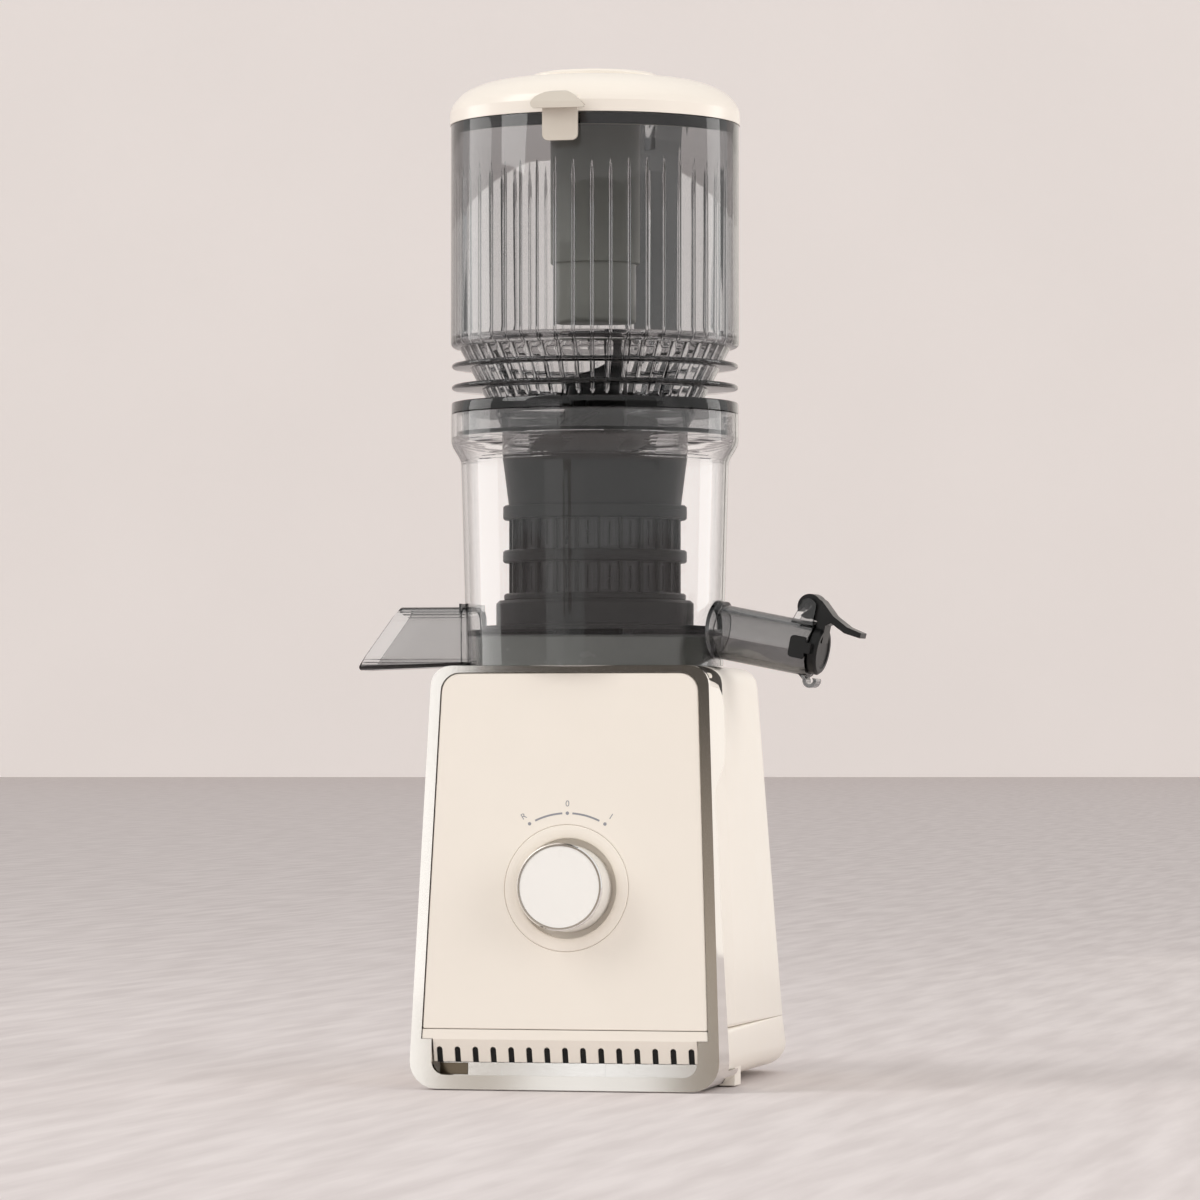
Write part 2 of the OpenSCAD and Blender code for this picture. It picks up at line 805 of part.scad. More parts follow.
// A gear with a hex bore; phase turns a tooth to that angle
module gear(teeth, mod, t, hex_r, phase) {
    difference() {
        rotate([0, 0, phase]) linear_extrude(t) polygon(gear_points(teeth, mod));
        translate([0, 0, -1]) hex_bar(hex_r + run_gap, t + 2);
    }
}

// Six round windows that lighten a large gear
module gear_windows(ring_r, r, t) {
    for (i = [0:5])
        rotate([0, 0, 60 * i + 30]) translate([ring_r, 0, -1]) cylinder(r = r, h = t + 2);
}

module drive_gear() {
    color(steel)
        translate([0, 0, slow_z])
            difference() {
                gear(slow_gear, mod_slow, slow_t, shaft_r, lay_angle + 180 / slow_gear);
                gear_windows(22, 6.5, slow_t);
            }
}

module lay_pinion() {
    color(steel)
        at_lay()
            translate([0, 0, slow_z - 1])
                gear(slow_pinion, mod_slow, slow_t + 2, thin_hex_r, lay_angle + 180);
}

module lay_gear() {
    color(cream)
        at_lay()
            translate([0, 0, fast_z])
                difference() {
                    gear(fast_gear, mod_fast, fast_t, thin_hex_r, motor_angle + 180 / fast_gear);
                    gear_windows(19, 5.5, fast_t);
                }
}

module motor_pinion() {
    color(brass)
        at_motor()
            translate([0, 0, fast_z - 1])
                gear(fast_pinion, mod_fast, fast_t + 2, thin_shaft_r, motor_angle + 180);
}

module layshaft() {
    low = lower_plate_z + 0.5;
    hex_low = fast_z - 2;
    hex_high = slow_z + slow_t + 2;
    color(steel)
        at_lay() {
            translate([0, 0, low]) cylinder(r = thin_shaft_r, h = upper_plate_z + gear_plate_t - 0.5 - low);
            translate([0, 0, hex_low]) hex_bar(thin_hex_r, hex_high - hex_low);
        }
}

// Journal, gear hex, upper journal and the hex that carries the auger
module drive_shaft() {
    low = lower_plate_z - 3;
    hex_low = slow_z - 1;
    hex_high = slow_z + slow_t + 1;
    color(steel) {
        translate([0, 0, low]) cylinder(r = shaft_r, h = hex_low - low);
        translate([0, 0, hex_low]) hex_bar(shaft_r, hex_high - hex_low);
        translate([0, 0, hex_high]) cylinder(r = top_journal_r, h = seat_top - 0.5 - hex_high);
        translate([0, 0, seat_top - 0.5]) hex_bar(hex_af / 2 / cos(30), hex_reach);
    }
}

// ---------- motor ----------
winding_h = 9;
bell_slot_w = 18;                  // of the four slots round each end bell
bell_slot_r = 8;
bell_hole_r = 5;
bell_hole_ring = 19;
fan_hub_r = 8;

module motor_stator() {
    color(steel)
        at_motor() translate([0, 0, stator_low]) ring(stator_r, rotor_r + air_gap, stator_h);
}

module motor_windings() {
    color(copper)
        at_motor()
            for (z = [stator_top, stator_low - winding_h])
                translate([0, 0, z]) ring(stator_r - 4, rotor_r + 1.5, winding_h);
}

// Slotted end bell, open side down
module end_bell(h) {
    difference() {
        cylinder(r = stator_r, h = h);
        translate([0, 0, -1]) cylinder(r = stator_r - 2.5, h = h - 2);
        translate([0, 0, -1]) cylinder(r = thin_shaft_r + 2, h = h + 2);
        for (i = [0:3])
            rotate([0, 0, 45 + 90 * i])
                translate([bell_slot_r, -bell_slot_w / 2, 2]) cube([stator_r, bell_slot_w, h - 7]);
        for (i = [0:3])
            rotate([0, 0, 90 * i]) translate([bell_hole_ring, 0, -1]) cylinder(r = bell_hole_r, h = h + 2);
    }
}

module motor_brackets() {
    color(warm_grey)
        at_motor() {
            translate([0, 0, stator_top]) end_bell(lower_plate_z - stator_top);
            translate([0, 0, stator_low]) mirror([0, 0, 1]) end_bell(stator_low - bracket_low);
        }
}

module motor_rotor() {
    shaft_low = fan_z - 1;
    hex_low = fast_z - 2;
    color(steel)
        at_motor() {
            translate([0, 0, stator_low + 2]) cylinder(r = rotor_r, h = stator_h - 4);
            translate([0, 0, shaft_low]) cylinder(r = thin_shaft_r, h = hex_low - shaft_low);
            translate([0, 0, hex_low]) hex_bar(thin_shaft_r, fast_t + 5);
        }
}

module cooling_fan() {
    color(black)
        at_motor()
            translate([0, 0, fan_z]) {
                ring(fan_hub_r, thin_shaft_r + run_gap, fan_t);
                for (i = [0:8])
                    rotate([0, 0, 40 * i])
                        translate([fan_hub_r - 0.5, -1, 0])
                            rotate([30, 0, 0]) cube([21, 1.6, fan_t]);
            }
}

// ---------- juicing bowl ----------
hub_hole_r = 13.5;
spigot_r = bowl_r - 5.4;           // of the hopper's spigot inside the collar
port_low = 1;

function reversed(points) = [for (i = [len(points) - 1:-1:0]) points[i]];

// Points of a line of points, moved t to the left of the way it runs
function inset_line(points, t) =
    let (last = len(points) - 1)
    [for (i = [0:last])
        let (d = unit(points[min(i + 1, last)] - points[max(i - 1, 0)]))
        points[i] + t * [-d[1], d[0]]];

function bowl_outline() = concat(
    [[barrel_low_r, skirt_low]],
    s_curve([barrel_high_r, barrel_top_z], [bowl_r, collar_z]),
    [[bowl_r, bowl_top]]);

// Everything inside the bowl's outer surface, grown by a gap
module bowl_solid(gap) {
    outline = bowl_outline();
    rotate_extrude()
        polygon(concat([[0, skirt_low - 6], [barrel_low_r + gap, skirt_low - 6]],
            [for (p = outline) [p[0] + gap, p[1]]], [[0, bowl_top]]));
}

// Lugs or hooks of the bayonet, three round the axis
module bayonet(inner, outer, low, high, sweep, start) {
    for (i = [0:2])
        rotate([0, 0, start + 120 * i])
            rotate_extrude(angle = sweep)
                polygon(box_points(inner, low, outer, high));
}

module juice_bowl() {
    floor_r = barrel_r(floor_top) - bowl_wall;
    collar_in_r = bowl_r - collar_t;
    inner = s_curve([barrel_high_r - bowl_wall, barrel_top_z + 1], [collar_in_r, collar_z + 1.5]);
    color(clear_smoke) {
        difference() {
            rotate_extrude()
                polygon(concat(bowl_outline(), [[collar_in_r, bowl_top]], reversed(inner),
                    [[floor_r, floor_top], [hub_hole_r, floor_top], [hub_hole_r, seat_top],
                        [seat_r + 0.5, seat_top], [seat_r + 0.5, skirt_low]]));
            translate([-barrel_high_r - 3, -chute_w / 2 + 4, floor_top + port_low])
                cube([14, chute_w - 8, 9]);
            intersection() {
                spout_frame() along_spout(50, 20, spout_bore / 2);
                translate([40, -30, floor_top + 0.3]) cube([40, 60, 30]);
            }
        }
        bayonet(spigot_r + 0.4, collar_in_r + 0.1, bowl_top - 4.5, bowl_top - 1.5, 30, 0);
    }
}

module hub_seal() {
    color(rubber)
        translate([0, 0, seat_top + seat_gap])
            ring(hub_hole_r - 0.02, hub_r + 0.1, bowl_floor_t - seat_gap);
}

// ---------- pulp chute ----------
chute_wall = 2;
chute_top = floor_top + 12;
chute_low = chute_top - chute_h;
chute_root = 50;                   // start of the chute's form, inside the bowl's wall

module chute_form(inset, mouth) {
    low = chute_low + inset;
    high = chute_top - inset;
    half = chute_w / 2 - inset;
    soft = 7 - inset;
    intersection() {
        translate([-mouth - 10, 0, 0])
            rotate([90, 0, 90])
                linear_extrude(mouth + 10 - chute_root)
                    polygon(rounded(box_points(-half, low - 2.6, half, high), [soft, soft, soft, soft]));
        translate([0, chute_w, 0])
            rotate([90, 0, 0])
                linear_extrude(2 * chute_w)
                    polygon([[-chute_root, low], [-mouth, low - 2.6], [-mouth, low - 1],
                        [-mouth + 20, high - 2.5], [-mouth + 21.5, high], [-chute_root, high]]);
    }
}

// Clear chute that carries the pulp out to the left, its mouth cut on a slant
module pulp_chute() {
    color(clear_smoke)
        difference() {
            union() {
                chute_form(0, chute_reach);
                intersection() {
                    translate([-barrel_low_r - 5, -chute_w / 2 - 1.5, chute_low + 0.2])
                        cube([5, chute_w + 3, chute_h + 1.3]);
                    bowl_solid(3);
                }
            }
            chute_form(chute_wall, chute_reach + 30);
            bowl_solid(0.1);
        }
}

// ---------- juice spout and its cap ----------
spout_z = floor_top + 63 * tan(spout_drop);    // height at which the spout's axis meets the drive axis
pin_r = 1.8;
pin_u = spout_reach - 5;
pin_v = spout_d / 2 + 7.3;
ear_r = 4;
ear_t = 2;
hook_w = 10;
cap_u = spout_reach + 0.3;
cap_t = 4.5;

// Spout frame: x runs down the spout, z is square to it and upward
module spout_frame() {
    translate([0, 0, spout_z])
        rotate([0, 0, -spout_turn])
            rotate([0, spout_drop, 0])
                children();
}

module along_spout(u, length, r) {
    translate([u, 0, 0]) rotate([0, 90, 0]) cylinder(r = r, h = length);
}

// A side view of the spout, drawn as [x, z], made w wide about the spout's middle plane
module spout_side(w) {
    translate([0, w / 2, 0]) rotate([90, 0, 0]) linear_extrude(w) children();
}

module juice_spout() {
    ear_y = hook_w / 2 + 0.2 + ear_t / 2;
    catch_u = spout_reach + 1.6;
    catch_v = -spout_d / 2 - 1.7;
    color(clear_smoke)
        difference() {
            spout_frame()
                difference() {
                    union() {
                        along_spout(chute_root, spout_reach - chute_root, spout_d / 2);
                        along_spout(spout_reach - 3, 3, spout_d / 2 + 0.4);
                        along_spout(chute_root, barrel_low_r + 4 - chute_root, spout_d / 2 + 1.5);
                        for (side = [-1, 1])
                            translate([0, side * ear_y, 0])
                                spout_side(ear_t) {
                                    translate([pin_u, pin_v]) circle(ear_r);
                                    polygon([[pin_u - 8, spout_d / 2 - 4], [pin_u + 4, spout_d / 2 - 4],
                                        [pin_u + ear_r, pin_v], [pin_u - ear_r, pin_v]]);
                                }
                        spout_side(8) {
                            polygon([[catch_u - 8.5, catch_v + 3.7], [catch_u - 4, catch_v + 3.7],
                                [catch_u - 1.8, catch_v], [catch_u - 3.6, catch_v]]);
                            difference() {
                                translate([catch_u, catch_v]) circle(3.6);
                                translate([catch_u, catch_v]) circle(1.8);
                                translate([catch_u - 4, catch_v]) square([5, 5]);
                                translate([catch_u, catch_v + 1.5]) square([5, 5]);
                            }
                        }
                    }
                    along_spout(0, spout_reach + 5, spout_bore / 2);
                    translate([pin_u, 20, pin_v]) rotate([90, 0, 0]) cylinder(r = pin_r + 0.02, h = 40);
                }
            bowl_solid(0.1);
        }
}

module spout_pin() {
    half = hook_w / 2 + 0.2 + ear_t;
    color(clear_smoke)
        spout_frame()
            translate([pin_u, half, pin_v]) rotate([90, 0, 0]) cylinder(r = pin_r, h = 2 * half);
}

// Cap with a hook that snaps over the pin, a lever tail, and a clip on each side of the spout
module spout_cap() {
    disc_r = spout_d / 2 - 1.5;
    clip_y = spout_d / 2 + 1.4;
    head_r = 6.2;
    bore_r = pin_r + run_gap;
    out_u = cap_u + cap_t;
    color(black)
        spout_frame() {
            translate([cap_u, 0, 0])
                rotate([0, 90, 0])
                    rotate_extrude()
                        polygon([[0, 0], [disc_r, 0], [disc_r, cap_t - 1.2], [disc_r - 1.2, cap_t],
                            [disc_r - 3, cap_t], [disc_r - 3.4, cap_t - 0.6], [0, cap_t - 0.6]]);
            spout_side(hook_w)
                difference() {
                    union() {
                        translate([pin_u, pin_v]) circle(head_r);
                        polygon([[pin_u, pin_v + head_r], [pin_u + 6, pin_v + 3.8],
                            [pin_u + 13, pin_v - 2.6], [pin_u + 21, pin_v - 6.6],
                            [pin_u + 28.6, pin_v - 8.2], [pin_u + 28.4, pin_v - 10.8],
                            [pin_u + 20, pin_v - 9.8], [pin_u + 12.4, pin_v - 6.2],
                            [out_u, pin_v - 8], [out_u, disc_r - 8], [cap_u, disc_r - 8],
                            [cap_u, pin_v - 6.6], [pin_u + 1, pin_v - 5.6]]);
                    }
                    translate([pin_u, pin_v]) circle(bore_r);
                    translate([pin_u, pin_v]) rotate(225) translate([0, -1.1]) square([9, 2.2]);
                }
            for (side = [-1, 1]) {
                translate([0, side * clip_y, 0])
                    spout_side(1.4)
                        polygon(concat([[cap_u - 0.6, -2], [cap_u + 1, -2], [cap_u + 1, 3.4],
                            [cap_u - 0.6, 3.4]], rounded([[cap_u - 0.6, 6], [cap_u - 8.8, 6],
                            [cap_u - 8.8, -5], [cap_u - 0.6, -5]], [1, 2, 2, 1])));
                translate([0, side * (clip_y - 1.8), 0])
                    spout_side(5) polygon(box_points(cap_u, -2, cap_u + 2, 3.4));
            }
        }
}

module cap_seal() {
    color(rubber)
        spout_frame()
            translate([cap_u, 0, 0])
                rotate([0, -90, 0])
                    cylinder(r1 = spout_bore / 2 - 1.2, r2 = spout_bore / 2 - 1.8, h = 2.2);
}

// ---------- strainer ----------
drum_r = ring_r + 3.4;
strainer_floor = strainer_low + 2.4;

module strainer_base() {
    top_in_r = strainer_r + 0.2;
    color(dark_grey)
        difference() {
            rotate_extrude()
                polygon([[hub_r + 3.2, strainer_low], [drum_r + 7.6, strainer_low],
                    [drum_r + 7.6, strainer_low + 2], [drum_r, strainer_low + 2.4],
                    [drum_r, drum_top - 1.5], [drum_r - 1.5, drum_top], [top_in_r, drum_top],
                    [top_in_r, drum_top - 2.5], [drum_r - 2.5, drum_top - 2.5],
                    [drum_r - 2.5, strainer_floor], [hub_r + 3.2, strainer_floor]]);
            translate([-drum_r - 2, -9, strainer_floor + 0.4])
                cube([8, 18, drum_top - strainer_floor - 3.5]);
        }
}

module frame_ring(r, low, high) {
    rotate_extrude()
        polygon([[strainer_r, low], [r - 0.8, low], [r, low + 0.8], [r, high - 0.8], [r - 0.8, high],
            [strainer_r, high]]);
}

module strainer_frame() {
    color(dark_grey) {
        frame_ring(ring_r - 0.5, drum_top, drum_top + 3.5);
        frame_ring(ring_r, floor_top + 33.9, floor_top + 40.1);
        frame_ring(ring_r, mesh_top - 7.1, mesh_top);
        rotate_extrude()
            polygon([[strainer_r, mesh_top - 1], [strainer_r + 2, mesh_top - 1],
                [ring_r + 0.4, funnel_top], [ring_r - 1.4, funnel_top], [strainer_r, mesh_top + 4]]);
        for (i = [0:rib_count - 1])
            rotate([0, 0, 360 / rib_count * i])
                translate([strainer_r + 0.05, -0.8, drum_top + 1]) cube([1.9, 1.6, mesh_top - drum_top - 2]);
    }
}

module strainer_mesh() {
    color(steel)
        difference() {
            translate([0, 0, drum_top - 1]) ring(mesh_out_r, mesh_in_r, mesh_top - drum_top + 1);
            for (i = [0:mesh_slots - 1])
                rotate([0, 0, 360 / mesh_slots * i]) {
                    translate([mesh_in_r - 1, -0.5, drum_top + 5]) cube([mesh_t + 2, 1, 12]);
                    translate([mesh_in_r - 1, -0.5, floor_top + 42]) cube([mesh_t + 2, 1, 12]);
                }
        }
}

// ---------- auger ----------
auger_low = seat_top + 0.4;
auger_skirt = strainer_floor + 0.3;
flight_low = drum_top - 4;
flight_top = bowl_top + 1;
flight_high_r = 30;                // of the flights at their top; they narrow from the mesh's top up

// Star of flights, one wide-rooted blade each
function flight_points() =
    [for (i = [0:flight_count - 1])
        each [for (side = [[10, -24], [flight_r, -4.5], [flight_r, 1.5], [10, 24]])
            side[0] * [cos(360 / flight_count * i + side[1]), sin(360 / flight_count * i + side[1])]]];

module auger() {
    socket_r = hex_af / 2 / cos(30) + 0.12;
    color(dark_grey)
        difference() {
            union() {
                rotate_extrude()
                    polygon([[0, auger_low], [hub_r, auger_low], [hub_r, auger_skirt],
                        [flight_r - 2, auger_skirt], [flight_r, auger_skirt + 2],
                        [flight_r, auger_skirt + 4], [34, drum_top - 1], [30, floor_top + 40],
                        [23, mesh_top], [16.5, bowl_top - 4], [14, core_top], [0, core_top]]);
                intersection() {
                    translate([0, 0, flight_low])
                        linear_extrude(flight_top - flight_low, twist = -flight_turn, slices = 30)
                            polygon(flight_points());
                    rotate_extrude()
                        polygon([[0, flight_low - 1], [flight_r + 1, flight_low - 1],
                            [flight_r + 1, mesh_top], [flight_high_r, flight_top + 1],
                            [0, flight_top + 1]]);
                }
            }
            translate([0, 0, auger_low - 1]) hex_bar(socket_r, seat_top - 0.5 + hex_reach + 2 - auger_low);
        }
}

// Curved blade on top of the auger that draws food in
module auger_cutter() {
    blade_r = 42;
    steps = 10;
    outer = [for (i = [0:steps]) (5 + (blade_r - 5) * i / steps)
        * [cos(120 * i / steps), sin(120 * i / steps)]];
    inner = [for (i = [steps:-1:0]) (5 + (blade_r - 7) * i / steps)
        * [cos(120 * i / steps + 30 - 22 * i / steps), sin(120 * i / steps + 30 - 22 * i / steps)]];
    color(dark_grey)
        translate([0, 0, core_top]) {
            cylinder(r1 = 14, r2 = 13, h = 5);
            intersection() {
                linear_extrude(30) polygon(concat(outer, inner));
                rotate_extrude()
                    polygon([[0, 0], [blade_r + 3, 0], [blade_r + 3, 8], [14, 25], [0, 27]]);
            }
        }
}

// ---------- hopper ----------
cone_slope = 0.5216;
web_low = bowl_top + seat_gap;
web_top = bowl_top + 6;
throat_low = funnel_top + 0.5;
throat_r = ring_r + 0.5;
spigot_low = collar_z + 2;
cone_top = bowl_top + 38.5;
flute_t = 1.5;
flute_h = 1.1;
hinge_y = lid_r + 5.9;
hinge_z = hopper_top + 3;
hinge_r = 4;
hinge_pin_r = 1.5;
knuckle_w = 20;
lug_w = 5.6;
latch_y = -lid_r - 3;
latch_z = hopper_top + 5;
latch_pin_r = 1.2;
ear_w = 2.6;
function cone_r(z) = hopper_r - 17.75 + (z - bowl_top - 7.7) * cone_slope;
function cone_in_r(z) = cone_r(z) - hopper_wall / cos(atan(cone_slope));

// One of the thin rims round the cone
function rim_points(z) = [[cone_r(z - 1.2), z - 1.2], [hopper_r - 1, z - 1.2], [hopper_r - 0.45, z - 0.6],
    [hopper_r - 0.45, z + 0.6], [hopper_r - 1, z + 1.2], [cone_r(z + 1.2), z + 1.2]];

module cone_wall_form() {
    throat_in = throat_r - 2.5;
    cone_low = bowl_top + 7.7 - (hopper_r - 17.75 - throat_r) / cone_slope;
    cone_in_low = bowl_top + 7.7 - (hopper_r - 17.75 - throat_r + 0.3) / cone_slope;
    rotate_extrude()
        polygon(concat(
            [[throat_in, throat_low], [throat_r, throat_low], [throat_r, cone_low],
                [cone_r(web_low), web_low], [spigot_r - 2.6, web_low], [spigot_r - 2.6, spigot_low],
                [spigot_r, spigot_low], [spigot_r, web_low], [hopper_r - 0.35, web_low],
                [hopper_r - 0.35, web_top - 0.6], [hopper_r - 0.95, web_top], [cone_r(web_top), web_top]],
            rim_points(bowl_top + 13.6), rim_points(bowl_top + 24.3),
            [[cone_r(bowl_top + 33.2), bowl_top + 33.2], [hopper_r - 1.75, bowl_top + 33.7],
                [hopper_r - 0.5, bowl_top + 34.4], [hopper_r, bowl_top + 35.8], [hopper_r, cone_top],
                [hopper_in_r, cone_top], [hopper_in_r - 1.4, bowl_top + 36.2],
                [cone_in_r(bowl_top + 34), bowl_top + 34], [throat_in, cone_in_low]]));
}

// Flutes all round the inner wall, from the side view of one of them
module flutes() {
    for (i = [0:flute_count - 1])
        rotate([0, 0, 360 / flute_count * (i + 0.5)])
            translate([0, flute_t / 2, 0])
                rotate([90, 0, 0])
                    linear_extrude(flute_t)
                        children();
}

// Lower half of the hopper: throat, cone with its rims, spigot and bayonet lugs
module hopper_cone() {
    inner = hopper_in_r - flute_h;
    color(clear_smoke) {
        cone_wall_form();
        flutes()
            polygon([[hopper_in_r + 0.5, cone_top], [inner, cone_top],
                [cone_in_r(bowl_top + 34.5) - flute_h, bowl_top + 34.5],
                [cone_in_r(bowl_top + 9) - flute_h, bowl_top + 9],
                [cone_in_r(bowl_top + 7) + 0.5, bowl_top + 7],
                [cone_in_r(bowl_top + 33) + 0.5, bowl_top + 33], [hopper_in_r - 0.4, bowl_top + 35.2],
                [hopper_in_r + 0.5, bowl_top + 37.5]]);
        bayonet(spigot_r - 0.3, bowl_r - collar_t - 0.5, bowl_top - 8.5, bowl_top - 5, 24, 3);
    }
}

// Upper half of the same moulding: the fluted cylinder, the hinge's lugs and the latch's ledge
module hopper() {
    lug_x = knuckle_w / 2 + 0.4 + lug_w / 2;
    inner = hopper_in_r - flute_h;
    color(clear_smoke) {
        translate([0, 0, cone_top]) ring(hopper_r, hopper_in_r, hopper_top - cone_top);
        flutes()
            polygon([[hopper_in_r + 0.5, hopper_top - 22], [inner, hopper_top - 30], [inner, cone_top],
                [hopper_in_r + 0.5, cone_top]]);
        for (side = [-1, 1])
            translate([side * lug_x, 0, 0])
                across(lug_w)
                    difference() {
                        union() {
                            translate([hinge_y, hinge_z]) circle(hinge_r);
                            polygon([[hopper_r - 2.2, hopper_top - 14], [hinge_y + hinge_r, hinge_z - 3],
                                [hinge_y + hinge_r, hinge_z], [hinge_y - hinge_r, hinge_z],
                                [hinge_y - hinge_r, hopper_top - 2], [hopper_r - 2.2, hopper_top - 2]]);
                        }
                        translate([hinge_y, hinge_z]) circle(hinge_pin_r + run_gap);
                    }
        across(14)
            polygon([[-hopper_r - 1.6, hopper_top - 11], [1.2 - hopper_r, hopper_top - 12.5],
                [1.2 - hopper_r, hopper_top - 8], [-hopper_r - 1.6, hopper_top - 8.6]]);
    }
}

module hopper_seal() {
    color(rubber)
        translate([0, 0, spigot_low + 0.3])
            ring(bowl_r - collar_t - 0.3, spigot_r + 0.02, 1.6);
}

module hinge_pin() {
    half = knuckle_w / 2 + 0.4 + lug_w;
    color(steel)
        translate([-half, hinge_y, hinge_z]) rotate([0, 90, 0]) cylinder(r = hinge_pin_r, h = 2 * half);
}

// ---------- lid ----------
lid_skirt_r = hopper_in_r - 3.65;
lid_skirt_t = 1.6;

// A finer line through the same points, bent smoothly from each to the next
function smoothed(points, steps = 3) =
    let (last = len(points) - 1)
    concat([for (i = [0:last - 1], k = [0:steps - 1])
        let (a = points[max(i - 1, 0)])
        let (b = points[i])
        let (c = points[i + 1])
        let (d = points[min(i + 2, last)])
        let (t = k / steps)
        b + ((c - a) * t + (2 * a - 5 * b + 4 * c - d) * t * t + (3 * b - a - 3 * c + d) * t * t * t) / 2],
        [points[last]]);

function lid_outline() = concat([[lid_r, hopper_top]],
    smoothed([for (p = [[0, 0.266], [-1.2, 0.423], [-4.3, 0.608], [-8.4, 0.748], [-15.5, 0.883],
        [-23.6, 0.955], [-37, 1]]) [lid_r + p[0], hopper_top + lid_h * p[1]]]));

module lid() {
    outline = lid_outline();
    knuckle_bore = hinge_pin_r + run_gap;
    color(cream) {
        rotate_extrude()
            polygon(concat(outline, [[tube_bore_r, lid_top], [tube_bore_r, lid_top - lid_wall]],
                reversed(inset_line(outline, lid_wall))));
        translate([0, 0, hopper_top - 6.5])
            ring(lid_skirt_r, lid_skirt_r - lid_skirt_t, lid_h * 0.6 + 6.3);
        across(knuckle_w)
            difference() {
                union() {
                    translate([hinge_y, hinge_z]) circle(hinge_r);
                    polygon([[lid_r - 2.3, hopper_top + 0.6], [hinge_y, hinge_z - 2.4],
                        [hinge_y, hinge_z + hinge_r], [lid_r - 2.3, hopper_top + 5.8]]);
                }
                translate([hinge_y, hinge_z]) circle(knuckle_bore);
            }
        for (side = [-1, 1])
            translate([side * (5.2 + ear_w / 2), 0, 0])
                across(ear_w)
                    difference() {
                        union() {
                            translate([latch_y, latch_z]) circle(2.6);
                            polygon([[latch_y, latch_z - 2.6], [1.8 - lid_r, hopper_top + 1.2],
                                [1.8 - lid_r, hopper_top + 5.8], [latch_y, latch_z + 2.6]]);
                        }
                        translate([latch_y, latch_z]) circle(latch_pin_r + 0.02);
                    }
    }
}

module feed_tube() {
    under = lid_top - lid_wall;
    color(warm_grey)
        rotate_extrude()
            polygon([[tube_bore_r, tube_low], [tube_out_r - 0.5, tube_low], [tube_out_r, tube_low + 0.5],
                [tube_out_r, under - 2], [tube_out_r + 4, under - 2], [tube_out_r + 4, under],
                [tube_bore_r, under]]);
}

module lid_seal() {
    color(rubber)
        translate([0, 0, hopper_top - 6.2])
            ring(hopper_in_r - 0.65, lid_skirt_r + 0.02, 5.4);
}

module latch_pin() {
    color(steel)
        translate([-5.2 - ear_w, latch_y, latch_z])
            rotate([0, 90, 0])
                cylinder(r = latch_pin_r, h = 2 * (5.2 + ear_w));
}

// Plate over the hopper's rim with a flared finger wing and a nib below
module lid_latch() {
    wing_w = latch_w + 10;
    plate_low = -20;
    half = latch_w / 2;
    color(warm_grey)
        translate([0, latch_y, latch_z]) {
            intersection() {
                union() {
                    across(latch_w)
                        polygon([[-4.2, -2.4], [-4.2, plate_low], [-2.2, plate_low], [-2.2, -3.4],
                            [-2.9, -2.4]]);
                    across(12)
                        polygon([[-2.4, plate_low + 0.6], [1, plate_low + 1.4], [1, plate_low + 2.6],
                            [-2.4, plate_low + 4]]);
                }
                translate([0, 10, 0])
                    rotate([90, 0, 0])
                        linear_extrude(30)
                            polygon(rounded(box_points(-half, plate_low, half, 10), [3, 3, 0, 0]));
            }
            intersection() {
                across(wing_w)
                    polygon([[-2.9, 4.4], [-5.5, 3.6], [-9, -1.5], [-9.6, -4.6], [-8.2, -4.6], [-7.2, -1.8],
                        [-4.6, 0.4], [-4.2, -3], [-2.9, -3]]);
                translate([0, 10, 0])
                    rotate([90, 0, 0])
                        linear_extrude(30)
                            polygon(rounded([[-wing_w / 2, -5], [wing_w / 2, -5], [wing_w / 2, 0],
                                [wing_w / 2 - 5, 5], [5 - wing_w / 2, 5], [-wing_w / 2, 0]],
                                [2, 2, 3, 3, 3, 3]));
            }
            difference() {
                union() {
                    across(10) circle(2.6);
                    across(10) polygon([[-3.2, -2], [0, -2], [0, 2], [-3.2, 2]]);
                }
                translate([-8, 0, 0]) rotate([0, 90, 0]) cylinder(r = latch_pin_r + run_gap, h = 16);
            }
        }
}

// ---------- pusher ----------
pusher_wall = 2;
pusher_tip_h = 8.5;
head_r = 31.5;
head_t = 3.3;

module pusher_body() {
    low = pusher_low + pusher_tip_h;
    bore_r = pusher_r - pusher_wall;
    color(cream)
        rotate_extrude()
            polygon([[bore_r, low], [pusher_r, low], [pusher_r, lid_top], [head_r, lid_top],
                [head_r, lid_top + head_t - 1], [head_r - 1, lid_top + head_t], [0, lid_top + head_t],
                [0, lid_top - 1], [bore_r, lid_top - 1]]);
}

module pusher_tip() {
    soft = 2.5;
    color(warm_grey)
        rotate_extrude()
            polygon(concat([[0, pusher_low]],
                [for (a = [0:15:90]) [pusher_r - soft + soft * sin(a), pusher_low + soft - soft * cos(a)]],
                [[pusher_r, pusher_low + pusher_tip_h], [0, pusher_low + pusher_tip_h]]));
}

rear_housing();
front_housing();
front_panel();
trim_frame();
vent_chin();
base_pan();
plinth_strip();
rubber_feet();
dial_bezel();
rotary_switch();
bowl_seat();
output_bushes();
output_seal();
upper_gear_plate();
lower_gear_plate();
plate_pillars();
thin_bushes();
motor_stator();
motor_windings();
motor_brackets();
circuit_board();
board_screws();
cord_gland();
knob_body();
knob_ring();
knob_face();
switch_stem();
motor_rotor();
motor_pinion();
cooling_fan();
layshaft();
lay_gear();
lay_pinion();
drive_shaft();
drive_gear();
juice_bowl();
pulp_chute();
juice_spout();
spout_pin();
hub_seal();
strainer_base();
strainer_frame();
strainer_mesh();
auger();
auger_cutter();
spout_cap();
cap_seal();
hopper();
hopper_cone();
hopper_seal();
hinge_pin();
lid();
feed_tube();
lid_seal();
latch_pin();
lid_latch();
pusher_body();
pusher_tip();
